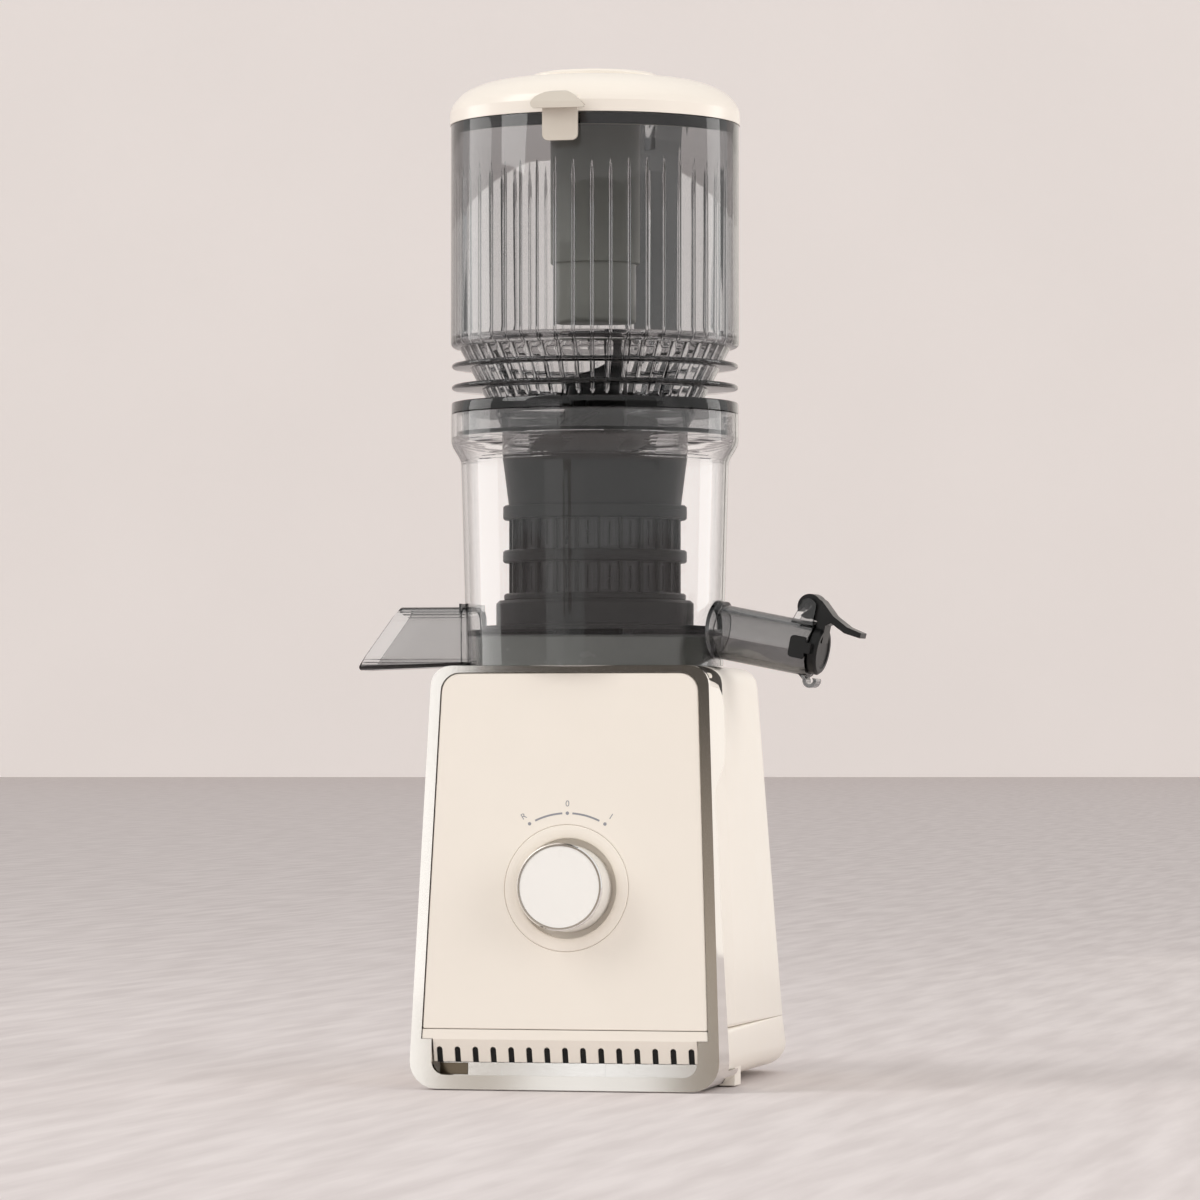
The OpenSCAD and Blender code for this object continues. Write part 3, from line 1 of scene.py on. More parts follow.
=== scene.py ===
# %% [markdown]
# # Dressing a cold press juicer
# The solids of the juicer come packed, each one on the body that it moves with. This lesson keeps
# every solid where it is, gives it a finish made of shader nodes, and adds the small pieces that a
# maker prints, moulds or polishes last: dial marks, perforations, softened edges and screws.

# %% Load the solids
import json
import math

import bmesh
import bpy
from mathutils import Matrix, Vector
from mathutils.bvhtree import BVHTree


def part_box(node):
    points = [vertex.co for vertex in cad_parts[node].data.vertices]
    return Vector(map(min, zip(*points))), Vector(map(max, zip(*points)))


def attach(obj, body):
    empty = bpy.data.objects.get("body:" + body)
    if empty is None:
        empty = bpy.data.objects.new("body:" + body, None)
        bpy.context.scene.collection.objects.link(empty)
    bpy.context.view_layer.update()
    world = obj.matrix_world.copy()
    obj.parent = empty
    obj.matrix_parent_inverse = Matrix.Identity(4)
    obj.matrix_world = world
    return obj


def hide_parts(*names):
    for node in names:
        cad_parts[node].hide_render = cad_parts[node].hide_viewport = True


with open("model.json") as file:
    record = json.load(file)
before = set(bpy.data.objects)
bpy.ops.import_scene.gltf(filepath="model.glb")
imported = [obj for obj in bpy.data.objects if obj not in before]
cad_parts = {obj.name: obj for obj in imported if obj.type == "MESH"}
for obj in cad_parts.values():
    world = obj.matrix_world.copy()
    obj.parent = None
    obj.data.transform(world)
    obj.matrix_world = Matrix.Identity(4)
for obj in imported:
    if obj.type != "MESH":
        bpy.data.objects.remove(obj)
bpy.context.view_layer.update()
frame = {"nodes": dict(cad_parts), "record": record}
solids = frame["nodes"]
MM = 0.001

# %% [markdown]
# ## The camera
# The juicer is seen from a little to its right and from a long way off, so its sides stay almost
# parallel. A long lens does that. The camera stands level with the middle of the base, and looks
# up by less than two degrees.

# %% Stand the camera
AZIMUTH = math.radians(12.5)
DISTANCE = 2.862
CAMERA_Z = 0.1714
SENSOR = 36.0
# In pixels of the square picture: its side, the focal length, and the aim, right of the axis and up
IMAGE, FOCAL, AIM_RIGHT, AIM_UP = 1200.0, 5720.0, 5.0, 140.0


def stand_camera():
    lens = bpy.data.cameras.new("camera")
    lens.sensor_width = SENSOR
    lens.lens = SENSOR * FOCAL / IMAGE
    lens.clip_end = 200.0
    camera = bpy.data.objects.new("camera", lens)
    bpy.context.scene.collection.objects.link(camera)
    place = Vector((DISTANCE * math.sin(AZIMUTH), -DISTANCE * math.cos(AZIMUTH), CAMERA_Z))
    right = Vector((math.cos(AZIMUTH), math.sin(AZIMUTH), 0.0))
    aim = right * (AIM_RIGHT / FOCAL * DISTANCE)
    aim.z = CAMERA_Z + DISTANCE * AIM_UP / FOCAL
    camera.location = place
    camera.rotation_euler = (aim - place).to_track_quat("-Z", "Y").to_euler()
    bpy.context.scene.camera = camera
    return camera


camera = stand_camera()
print("camera", tuple(round(v, 3) for v in camera.location))

# %% [markdown]
# ## Finishes
# A finish is a small tree of shader nodes. Each one starts from the same helper, which adds a
# Principled shader, and reads Object coordinates, so that the grain keeps its size in millimetres
# on every piece. Moulded plastic is never one flat colour: it has a faint mottle in its colour,
# a change in its gloss where it has been handled, and a fine skin like an orange's.

# %% Start a finish
FINISHES = {}


def start_finish(name):
    mat = bpy.data.materials.new(name)
    mat.use_nodes = True
    nodes = mat.node_tree.nodes
    nodes.clear()
    out = nodes.new("ShaderNodeOutputMaterial")
    shader = nodes.new("ShaderNodeBsdfPrincipled")
    mat.node_tree.links.new(shader.outputs["BSDF"], out.inputs["Surface"])
    where = nodes.new("ShaderNodeTexCoord")
    FINISHES[name] = mat
    return nodes, mat.node_tree.links, shader, where.outputs["Object"]


def noise(nodes, links, where, scale, detail=3.0, stretch=None):
    """A noise of that many waves to a metre, stretched along an axis for a grain."""
    tex = nodes.new("ShaderNodeTexNoise")
    tex.inputs["Scale"].default_value = scale
    tex.inputs["Detail"].default_value = detail
    if stretch:
        mapping = nodes.new("ShaderNodeMapping")
        mapping.inputs["Scale"].default_value = stretch
        links.new(where, mapping.inputs["Vector"])
        where = mapping.outputs["Vector"]
    links.new(where, tex.inputs["Vector"])
    return tex.outputs["Fac"]


def ramp(nodes, links, factor, stops):
    """A colour ramp with stops of (position, colour)."""
    node = nodes.new("ShaderNodeValToRGB")
    elements = node.color_ramp.elements
    while len(elements) > 1:
        elements.remove(elements[-1])
    for i, (position, colour) in enumerate(stops):
        element = elements[0] if i == 0 else elements.new(position)
        element.position = position
        element.color = (*colour, 1.0)
    links.new(factor, node.inputs["Fac"])
    return node.outputs["Color"]


def spread(nodes, links, factor, end, start=(0.3, 0.7)):
    """Maps a factor's range from start to end, such as a noise to a range of roughness."""
    node = nodes.new("ShaderNodeMapRange")
    for label, number in zip(("From Min", "From Max", "To Min", "To Max"), (*start, *end)):
        node.inputs[label].default_value = number
    links.new(factor, node.inputs["Value"])
    return node.outputs["Result"]


def relief(nodes, links, shader, height, strength, distance):
    node = nodes.new("ShaderNodeBump")
    node.inputs["Strength"].default_value = strength
    node.inputs["Distance"].default_value = distance
    links.new(height, node.inputs["Height"])
    links.new(node.outputs["Normal"], shader.inputs["Normal"])
# %% [markdown]
# ## Moulded plastics
# One recipe serves all the opaque plastics. What changes is the colour, the gloss and how coarse
# the skin is. The cream shell is a satin paint over plastic, so it also gets a thin clear coat.

# %% Make the opaque plastics
def moulded(name, light, dark, gloss=(0.30, 0.38), skin=0.04, coat=0.0, grain=1400.0, shine=0.5):
    """Opaque plastic between two near colours, with a range of roughness and a skin of that depth."""
    nodes, links, shader, where = start_finish(name)
    mottle = noise(nodes, links, where, 34.0, 4.0)
    links.new(ramp(nodes, links, mottle, [(0.3, dark), (0.7, light)]), shader.inputs["Base Color"])
    handled = noise(nodes, links, where, 90.0, 2.0)
    links.new(spread(nodes, links, handled, gloss), shader.inputs["Roughness"])
    if skin:
        relief(nodes, links, shader, noise(nodes, links, where, grain, 1.0), skin, 0.00005)
    shader.inputs["Specular IOR Level"].default_value = shine
    shader.inputs["Coat Weight"].default_value = coat
    shader.inputs["Coat Roughness"].default_value = 0.12


moulded("cream", (0.925, 0.860, 0.772), (0.915, 0.850, 0.762), (0.28, 0.34), 0.0, 0.2)
moulded("knob_white", (0.945, 0.925, 0.885), (0.935, 0.915, 0.875), (0.30, 0.36), 0.0, 0.1)
moulded("warm_grey", (0.66, 0.60, 0.52), (0.63, 0.57, 0.49), (0.28, 0.38), 0.05, 0.15)
moulded("tube_grey_painted_shade", (0.42, 0.425, 0.38), (0.40, 0.405, 0.36), (0.35, 0.45), 0.0)
moulded("seat_grey", (0.17, 0.178, 0.162), (0.16, 0.168, 0.152), (0.22, 0.28), 0.0, 0.4)
moulded("motor_grey", (0.42, 0.41, 0.39), (0.36, 0.35, 0.33), (0.45, 0.6), 0.1)
moulded("charcoal", (0.012, 0.012, 0.0125), (0.009, 0.009, 0.0095), (0.36, 0.46), 0.03, shine=0.2)
moulded("black_satin", (0.006, 0.006, 0.006), (0.004, 0.004, 0.004), (0.26, 0.34), 0.0, shine=0.3)
moulded("nylon", (0.78, 0.75, 0.67), (0.73, 0.70, 0.61), (0.38, 0.5), 0.08)
moulded("board", (0.035, 0.16, 0.075), (0.025, 0.12, 0.055), (0.35, 0.5), 0.15)
moulded("rubber", (0.014, 0.014, 0.014), (0.008, 0.008, 0.008), (0.55, 0.7), 0.2, 0.0, 2200.0, 0.3)
print("plastics", sorted(FINISHES))

# %% [markdown]
# ## Plastics that change with height
# The pusher is cream at its head and grey under it, and the feed tube gets painted shade that darkens it
# towards the lid, where the lid's shadow falls.
# Both start from a finish that is there already. The height over the floor picks one of two
# colours, or sets a share of the colour, on its way from the mottle to the shader.

# %% Change a plastic with its height
def plug(links, value, place):
    """Gives a socket a plain value, or what another node gives out."""
    if isinstance(value, bpy.types.NodeSocket):
        links.new(value, place)
    else:
        place.default_value = value


def maths(nodes, links, kind, *values, clamp=False):
    node = nodes.new("ShaderNodeMath")
    node.operation = kind
    node.use_clamp = clamp
    for value, place in zip(values, node.inputs):
        plug(links, value, place)
    return node.outputs["Value"]


def mixed(nodes, links, factor, a, b, kind="MIX"):
    """Two colours mixed by a factor."""
    node = nodes.new("ShaderNodeMix")
    node.data_type = "RGBA"
    node.blend_type = kind
    for label, value in (("Factor", factor), ("A", a), ("B", b)):
        plug(links, value, node.inputs[label])
    return node.outputs["Result"]


def height_of(nodes, links, where):
    parts = nodes.new("ShaderNodeSeparateXYZ")
    links.new(where, parts.inputs["Vector"])
    return parts.outputs["Z"]


def opened(mat):
    """A finish's nodes and links, its shader's colour socket and its height over the floor."""
    nodes, links = mat.node_tree.nodes, mat.node_tree.links
    height = height_of(nodes, links, nodes["Texture Coordinate"].outputs["Object"])
    return nodes, links, nodes["Principled BSDF"].inputs["Base Color"], height


def two_tone(name, cut, low):
    """A copy of a plastic that has the low colour under the height cut, like a two-shot moulding."""
    mat = FINISHES[name + "_two_tone"] = FINISHES[name].copy()
    nodes, links, colour, height = opened(mat)
    above = maths(nodes, links, "GREATER_THAN", height, cut)
    links.new(mixed(nodes, links, above, (*low, 1.0), colour.links[0].from_socket), colour)


def paint_shade_by_height(name, low, high, share):
    """Paints shade on a plastic by height, from its own colour at low to that share of it at high."""
    nodes, links, colour, height = opened(FINISHES[name])
    shade = nodes.new("ShaderNodeVectorMath")
    shade.operation = "SCALE"
    links.new(colour.links[0].from_socket, shade.inputs["Vector"])
    links.new(spread(nodes, links, height, (1.0, share), (low, high)), shade.inputs["Scale"])
    links.new(shade.outputs["Vector"], colour)


two_tone("cream", cut=0.482, low=(0.42, 0.425, 0.38))
# Painted shade: the feed tube darkens towards the lid, where the lid's shadow falls.
paint_shade_by_height("tube_grey_painted_shade", low=0.400, high=0.475, share=0.35)
print("changed with height: cream_two_tone, tube_grey_painted_shade")

# %% [markdown]
# ## Metals
# Polished plate shows the room, so its grain must be faint: a long stretched noise changes the
# roughness a little along each bar. The steels are turned or rolled, and get a coarser one.

# %% Make the metals
def metal(name, light, dark, gloss, stretch=(1.0, 1.0, 40.0), lines=400.0, skin=0.02):
    nodes, links, shader, where = start_finish(name)
    shader.inputs["Metallic"].default_value = 1.0
    cloud = noise(nodes, links, where, 26.0, 3.0)
    links.new(ramp(nodes, links, cloud, [(0.3, dark), (0.7, light)]), shader.inputs["Base Color"])
    grain = noise(nodes, links, where, lines, 3.0, stretch)
    links.new(spread(nodes, links, grain, gloss), shader.inputs["Roughness"])
    relief(nodes, links, shader, grain, skin, 0.0001)


metal("champagne", (0.86, 0.835, 0.80), (0.83, 0.805, 0.77), (0.05, 0.08), skin=0.008)
metal("bright", (0.95, 0.94, 0.925), (0.90, 0.89, 0.875), (0.05, 0.10))
metal("machined", (0.56, 0.57, 0.58), (0.47, 0.48, 0.49), (0.28, 0.45), (1.0, 1.0, 60.0), 700.0, 0.1)
metal("copper", (0.80, 0.42, 0.25), (0.66, 0.32, 0.18), (0.25, 0.4), (60.0, 60.0, 1.0), 500.0, 0.2)
metal("bronze", (0.66, 0.50, 0.28), (0.58, 0.43, 0.23), (0.25, 0.38))
metal("sieve", (0.07, 0.07, 0.072), (0.05, 0.05, 0.052), (0.35, 0.5), (1.0, 1.0, 1.0), 900.0, 0.1)
print("with the metals", len(FINISHES), "finishes")

# %% [markdown]
# ## Clear plastic
# The bowl and the hopper are closed walls of clear plastic, so the shader is a real refraction and
# not a see-through paint. The smoke is in the plastic: light fades by the way that it goes through
# the wall. The outline of a smoked wall is nearly black, and the fading alone doesn't reach that, so
# the surface is also darkened where it turns away from the eye.

# %% Make the clear plastics
EDGE_ON = 0.92


def clear(name, tint, fade, gloss=(0.01, 0.03), edge=0.12, turn=0.5):
    """Clear plastic with that tint, whose light fades by fade to a metre where the tint is black.

    Seen along its wall it darkens to edge, from where its face has turned away by turn on."""
    nodes, links, shader, where = start_finish(name)
    shader.inputs["Transmission Weight"].default_value = 1.0
    shader.inputs["IOR"].default_value = 1.46
    haze = noise(nodes, links, where, 20.0, 2.0)
    facing = nodes.new("ShaderNodeLayerWeight")
    facing.inputs["Blend"].default_value = 0.5
    along = ramp(nodes, links, facing.outputs["Facing"],
                 [(turn, (1.0, 1.0, 1.0)), (EDGE_ON, (edge, edge, edge))])
    body = ramp(nodes, links, haze, [(0.3, (0.97, 0.97, 0.97)), (0.7, (0.99, 0.99, 0.99))])
    links.new(mixed(nodes, links, 1.0, body, along, "MULTIPLY"), shader.inputs["Base Color"])
    links.new(spread(nodes, links, haze, gloss), shader.inputs["Roughness"])
    relief(nodes, links, shader, noise(nodes, links, where, 60.0, 2.0), strength=0.002, distance=0.002)
    soak = nodes.new("ShaderNodeVolumeAbsorption")
    soak.inputs["Color"].default_value = (*tint, 1.0)
    soak.inputs["Density"].default_value = fade
    links.new(soak.outputs["Volume"], nodes["Material Output"].inputs["Volume"])


clear("smoke", (0.50, 0.505, 0.515), 235.0, edge=0.06)
clear("light_smoke", (0.50, 0.50, 0.505), 60.0, edge=0.05, turn=0.6)
clear("dark_smoke", (0.50, 0.505, 0.51), 460.0, (0.015, 0.04))
print("clear", [name for name in FINISHES if name.endswith("smoke")])

# %% [markdown]
# ## Dressing the solids
# The finish goes into the material slots of each solid. Nothing about the mesh changes.

# %% Dress the solids
WEAR = {
    "cream": "rear_housing front_housing front_panel vent_chin base_pan dial_bezel lid",
    "cream_two_tone": "pusher_body",
    "seat_grey": "bowl_seat",
    "knob_white": "knob_body knob_face",
    "champagne": "trim_frame",
    "bright": "plinth_strip knob_ring board_screws hinge_pin latch_pin",
    "rubber": "rubber_feet output_seal hub_seal hopper_seal lid_seal cap_seal",
    "charcoal": "rotary_switch cord_gland cooling_fan strainer_base strainer_frame auger auger_cutter",
    "bronze": "output_bushes thin_bushes motor_pinion",
    "machined": "upper_gear_plate lower_gear_plate plate_pillars motor_stator switch_stem motor_rotor "
                "layshaft lay_pinion drive_shaft drive_gear",
    "copper": "motor_windings",
    "motor_grey": "motor_brackets",
    "board": "circuit_board",
    "nylon": "lay_gear",
    "light_smoke": "juice_bowl",
    "dark_smoke": "pulp_chute juice_spout spout_pin",
    "smoke": "hopper hopper_cone",
    "sieve": "strainer_mesh",
    "black_satin": "spout_cap",
    "tube_grey_painted_shade": "feed_tube pusher_tip",
    "warm_grey": "lid_latch",
}


def dress(piece, finish):
    piece.data.materials.clear()
    piece.data.materials.append(FINISHES[finish])


worn = {name: finish for finish, names in WEAR.items() for name in names.split()}
for name, solid in solids.items():
    dress(solid, worn[name])
print("dressed", len(worn), "of", len(solids))

# %% [markdown]
# ## Softened edges
# A moulded shell has no knife edges: a small radius catches a line of light along each one. The
# solids are loose triangles, so a copy is merged, its flat faces are made whole, and a bevel rounds
# every edge that turns by more than thirty degrees. The copy then stands for the solid. The wing of
# the lid's latch is shaped as a leaf, so that copy is cut to an outline before its edges are rounded.

# %% Copy a solid
SHARP = 30.0


def drawn_mesh(name, shape):
    mesh = bpy.data.meshes.new(name)
    shape.to_mesh(mesh)
    shape.free()
    return mesh


def new_piece(name, data, finish=None, sharp=None):
    """Stands a mesh up under that name, in its finish and smooth up to an angle if they are given."""
    if sharp is not None:
        data.shade_smooth()
        data.set_sharp_from_angle(angle=math.radians(sharp))
    piece = bpy.data.objects.new(name, data)
    bpy.context.scene.collection.objects.link(piece)
    if finish:
        dress(piece, finish)
    return piece


def as_made(piece):
    """A plain mesh of what a piece's modifiers or letters make."""
    bpy.context.view_layer.update()
    return bpy.data.meshes.new_from_object(piece.evaluated_get(bpy.context.evaluated_depsgraph_get()))


def merged_copy(name):
    """A copy of a solid with its triangles joined and its faces smooth up to the angle SHARP."""
    shape = bmesh.new()
    shape.from_mesh(solids[name].data)
    bmesh.ops.remove_doubles(shape, verts=shape.verts, dist=1e-6)
    bmesh.ops.dissolve_limit(shape, angle_limit=math.radians(0.3), verts=shape.verts, edges=shape.edges)
    mesh = drawn_mesh(name + "_form", shape)
    if "custom_normal" in mesh.attributes:
        mesh.attributes.remove(mesh.attributes["custom_normal"])
    return new_piece(name + "_form", mesh, sharp=SHARP)


# The latch from the front, in millimetres from its pin: a plate under a wing shaped as a leaf
LATCH_OUTLINE = [
    (-8.9, -20.4), (8.9, -20.4), (8.9, -4.8), (13.9, -4.5), (12.6, -2.9), (11.2, -1.3), (9.6, 0.3),
    (7.8, 1.8), (5.9, 3.1), (3.8, 4.1), (1.4, 4.6), (-1.4, 4.6), (-4.2, 4.3), (-7.0, 3.6), (-9.6, 2.6),
    (-11.8, 1.3), (-13.2, -0.3), (-13.8, -2.0), (-13.4, -3.6), (-12.2, -4.6), (-10.6, -4.9), (-8.9, -4.9)]


def cut_to_outline(piece, outline, centre, deep=20.0):
    """Keeps what lies inside a prism that stands along Y over that outline about centre."""
    shape = bmesh.new()
    near, far = ([shape.verts.new(centre + Vector((x, y, z)) * MM) for x, z in outline]
                 for y in (-deep, deep))
    shape.faces.new(near)
    shape.faces.new(far[::-1])
    for k in range(len(near)):
        shape.faces.new((near[k - 1], far[k - 1], far[k], near[k]))
    bmesh.ops.recalc_face_normals(shape, faces=shape.faces)
    cutter = new_piece("cutter", drawn_mesh("cutter", shape))
    cut = piece.modifiers.new("outline", "BOOLEAN")
    cut.operation, cut.solver, cut.object = "INTERSECT", "EXACT", cutter
    shaped = as_made(piece)
    piece.modifiers.clear()
    piece.data = shaped
    bpy.data.objects.remove(cutter)
    shaped.set_sharp_from_angle(angle=math.radians(SHARP))


# %% Soften the shells
def soften(name, radius):
    """Puts a copy with edges of that radius in a solid's place; a radius of 0 only shades it smooth."""
    piece = merged_copy(name)
    if name == "lid_latch":
        low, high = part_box("latch_pin")
        cut_to_outline(piece, LATCH_OUTLINE, (Vector(low) + Vector(high)) / 2)
    if radius:
        bevel = piece.modifiers.new("edge", "BEVEL")
        bevel.width = radius * MM
        bevel.segments = 3
        bevel.limit_method = "ANGLE"
        bevel.angle_limit = math.radians(SHARP)
        bevel.harden_normals = True
        bevel.use_clamp_overlap = True
    dress(piece, worn[name])
    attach(piece, body_of[name])
    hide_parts(name)


body_of = {n: b for b, names in frame["record"]["behaviour"]["bodies"].items() for n in names}
EDGES = {"front_panel": 0.5, "trim_frame": 0.35, "rear_housing": 0.4, "front_housing": 0.4,
         "base_pan": 0.4, "lid_latch": 0.45, "spout_cap": 0.5, "auger": 0.0}
for name, radius in EDGES.items():
    soften(name, radius)
print("softened", len(EDGES))

# %% [markdown]
# ## Marks round the dial
# The dial's marks are printed. Geometry Nodes set the dots out along an arc from a count, a radius
# and a sweep, and every dot is a thin disc that stands a few hundredths of a millimetre proud, so
# that it doesn't flicker in the panel. The two grey arcs between them are thin strips, and a sign
# stands outside each dot.

# %% Find the dial and run a tree of nodes
LEAN = math.radians(3.66)
FRONT_REACH = 71.7
DIAL_V = 99.0 / math.cos(LEAN)
PANEL_FACE = -0.5


def on_front(v, out):
    """Matrix that takes x across, y up the slope and z out of the face, in millimetres, to metres."""
    place = Matrix.Translation((0, -FRONT_REACH * MM, 0))
    lean = Matrix.Rotation(-LEAN, 4, "X") @ Matrix.Rotation(math.pi / 2, 4, "X")
    return place @ lean @ Matrix.Translation((0, v * MM, out * MM)) @ Matrix.Scale(MM, 4)


def new_nodes(tree, *kinds):
    return [tree.nodes.new(kind) for kind in kinds]


def join(tree, *pairs):
    """Joins nodes by pairs of (node, output, node, input)."""
    for giver, given, taker, taken in pairs:
        tree.links.new(giver.outputs[given], taker.inputs[taken])


def start_tree(name, sizes, reshapes=False):
    """A Geometry Nodes tree with named sizes and a finish, that grows a shape or reshapes a given one."""
    tree = bpy.data.node_groups.new(name, "GeometryNodeTree")
    if reshapes:
        tree.interface.new_socket(name="Geometry", in_out="INPUT", socket_type="NodeSocketGeometry")
    tree.interface.new_socket(name="Geometry", in_out="OUTPUT", socket_type="NodeSocketGeometry")
    for label, value in sizes.items():
        kind = "NodeSocketInt" if isinstance(value, int) else "NodeSocketFloat"
        tree.interface.new_socket(name=label, in_out="INPUT", socket_type=kind).default_value = value
    tree.interface.new_socket(name="Finish", in_out="INPUT", socket_type="NodeSocketMaterial")
    return tree, *new_nodes(tree, "NodeGroupInput", "NodeGroupOutput")


def end_tree(tree, given, out, maker, made):
    """Ends a tree with plain geometry in its finish."""
    realize, finish = new_nodes(tree, "GeometryNodeRealizeInstances", "GeometryNodeSetMaterial")
    join(tree, (maker, made, realize, "Geometry"), (realize, "Geometry", finish, "Geometry"),
         (given, "Finish", finish, "Material"), (finish, "Geometry", out, "Geometry"))
    return tree


def run_tree(piece, tree, finish, values):
    """A plain mesh of what the tree makes of a piece, whose modifier is gone again."""
    modifier = piece.modifiers.new("tree", "NODES")
    modifier.node_group = tree
    sockets = {s.name: s.identifier for s in tree.interface.items_tree if s.in_out == "INPUT"}
    for label, value in values.items():
        modifier[sockets[label]] = value
    modifier[sockets["Finish"]] = FINISHES[finish]
    mesh = as_made(piece)
    piece.modifiers.remove(modifier)
    return mesh


def grow(name, tree, finish, values, matrix):
    """Runs the tree on an empty mesh and moves the result into place."""
    seed = new_piece(name + "_seed", bpy.data.meshes.new(name + "_seed"))
    mesh = run_tree(seed, tree, finish, values)
    bpy.data.objects.remove(seed)
    mesh.transform(matrix)
    mesh.name = name
    print(name, len(mesh.polygons), "faces")
    return new_piece(name, mesh, finish)


print("dial", round(DIAL_V, 1), "mm up the slope")

# %% Print the dial's marks
moulded("ink", (0.31, 0.315, 0.34), (0.28, 0.285, 0.31), (0.45, 0.55), 0.0)
MARK_R, ARC_WIDTH, ARC_SWEEP, PRINT = 36.7, 0.9, 22.0, 0.08
SIGN_R, SIGN_SIZE = MARK_R + 4.6, 4.2


def dots_on_arc():
    tree, given, out = start_tree("dots_on_arc", {
        "Count": 3, "Radius": MARK_R, "Sweep": math.radians(62), "Start": math.radians(59),
        "Dot": 0.85, "Height": 0.1})
    arc, points, dot, place = new_nodes(
        tree, "GeometryNodeCurveArc", "GeometryNodeCurveToPoints", "GeometryNodeMeshCylinder",
        "GeometryNodeInstanceOnPoints")
    arc.inputs["Resolution"].default_value = 64
    dot.inputs["Vertices"].default_value = 20
    join(tree, (given, "Radius", arc, "Radius"), (given, "Sweep", arc, "Sweep Angle"),
         (given, "Start", arc, "Start Angle"), (arc, "Curve", points, "Curve"),
         (given, "Count", points, "Count"), (given, "Dot", dot, "Radius"),
         (given, "Height", dot, "Depth"), (points, "Points", place, "Points"),
         (dot, "Mesh", place, "Instance"))
    return end_tree(tree, given, out, place, "Instances")


def drawn_piece(name, shape, finish, matrix=None, sharp=None):
    """A drawn shape as a piece, its faces turned outwards."""
    bmesh.ops.recalc_face_normals(shape, faces=shape.faces)
    mesh = drawn_mesh(name, shape)
    if matrix:
        mesh.transform(matrix)
    return new_piece(name, mesh, finish, sharp)


def arc_strip(name, radius, width, height, first, last, finish, matrix, steps=24):
    """A thin flat strip along an arc, measured in degrees clockwise from the top."""
    shape = bmesh.new()
    low, high = radius - width / 2, radius + width / 2
    rows = []
    for i in range(steps + 1):
        a = math.radians(90.0 - first - (last - first) * i / steps)
        rows.append([shape.verts.new((r * math.cos(a), r * math.sin(a), z))
                     for r, z in ((low, 0.0), (high, 0.0), (high, height), (low, height))])
    for near, far in zip(rows, rows[1:]):
        for k in range(4):
            shape.faces.new((near[k], near[(k + 1) % 4], far[(k + 1) % 4], far[k]))
    shape.faces.new(rows[0][::-1])
    shape.faces.new(rows[-1])
    return drawn_piece(name, shape, finish, matrix)


def print_sign(name, words, turn):
    """A sign as a thin raised print round the dial, turned by that many degrees from the top."""
    letters = bpy.data.curves.new(name, "FONT")
    letters.body = words
    letters.size = SIGN_SIZE
    letters.extrude = PRINT / 2
    letters.align_x = "CENTER"
    letters.align_y = "CENTER"
    source = new_piece(name + "_seed", letters)
    mesh = as_made(source)
    bpy.data.objects.remove(source)
    a = math.radians(90.0 + turn)
    aside = Matrix.Translation((SIGN_R * math.cos(a), 0, 0))
    at = on_front(DIAL_V + SIGN_R * math.sin(a), PANEL_FACE) @ aside
    mesh.transform(at @ Matrix.Rotation(math.radians(turn), 4, "Z"))
    mesh.name = name
    return new_piece(name, mesh, "ink")


at_dial = on_front(DIAL_V, PANEL_FACE)
marks = [grow("dial_dots", dots_on_arc(), "ink", {}, at_dial)]
for side, first in (("left", -26.0), ("right", 4.0)):
    marks.append(arc_strip("dial_arc_" + side, MARK_R, ARC_WIDTH, PRINT, first, first + ARC_SWEEP,
                           "ink", at_dial))
for word, turn, label in (("0", 0.0, "top"), ("R", 32.0, "left"), ("1", -32.0, "right")):
    marks.append(print_sign("dial_mark_" + label, word, turn))
for piece in marks:
    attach(piece, "base")
print("marks", len(marks))

# %% [markdown]
# ## Perforations
# The strainer's sleeve is thin steel with rows of small holes. At this size a hole shows as a dark
# dot, so Geometry Nodes lay dark six-sided dots on the sleeve: a ring of points is repeated up the
# axis, and every dot faces outwards.

# %% Perforate the sleeve
def holes_on_sleeve():
    tree, given, out = start_tree("holes_on_sleeve", {
        "Columns": 120, "Rows": 8, "Radius": 40.93, "Low": 246.0, "Pitch": 1.9, "Hole": 0.42,
        "Depth": 0.12})
    circle, line, rise, step, rings, real, where, flat, face, dot, place = new_nodes(
        tree, "GeometryNodeMeshCircle", "GeometryNodeMeshLine", "ShaderNodeCombineXYZ",
        "ShaderNodeCombineXYZ", "GeometryNodeInstanceOnPoints", "GeometryNodeRealizeInstances",
        "GeometryNodeInputPosition", "ShaderNodeVectorMath", "FunctionNodeAlignRotationToVector",
        "GeometryNodeMeshCylinder", "GeometryNodeInstanceOnPoints")
    line.mode = "OFFSET"
    flat.operation = "MULTIPLY"
    flat.inputs[1].default_value = (1.0, 1.0, 0.0)
    face.axis = "Z"
    dot.inputs["Vertices"].default_value = 6
    join(tree, (given, "Columns", circle, "Vertices"), (given, "Radius", circle, "Radius"),
         (given, "Rows", line, "Count"), (given, "Low", rise, "Z"), (given, "Pitch", step, "Z"),
         (rise, "Vector", line, "Start Location"), (step, "Vector", line, "Offset"),
         (line, "Mesh", rings, "Points"), (circle, "Mesh", rings, "Instance"),
         (rings, "Instances", real, "Geometry"), (where, "Position", flat, 0),
         (flat, "Vector", face, "Vector"), (given, "Hole", dot, "Radius"), (given, "Depth", dot, "Depth"),
         (real, "Geometry", place, "Points"), (face, "Rotation", place, "Rotation"),
         (dot, "Mesh", place, "Instance"))
    return end_tree(tree, given, out, place, "Instances")


sleeve_tree = holes_on_sleeve()
for label, low in (("low", 245.8), ("high", 267.4)):
    holes = grow("sleeve_holes_" + label, sleeve_tree, "rubber", {"Low": low}, Matrix.Scale(MM, 4))
    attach(holes, "juicing_bowl")

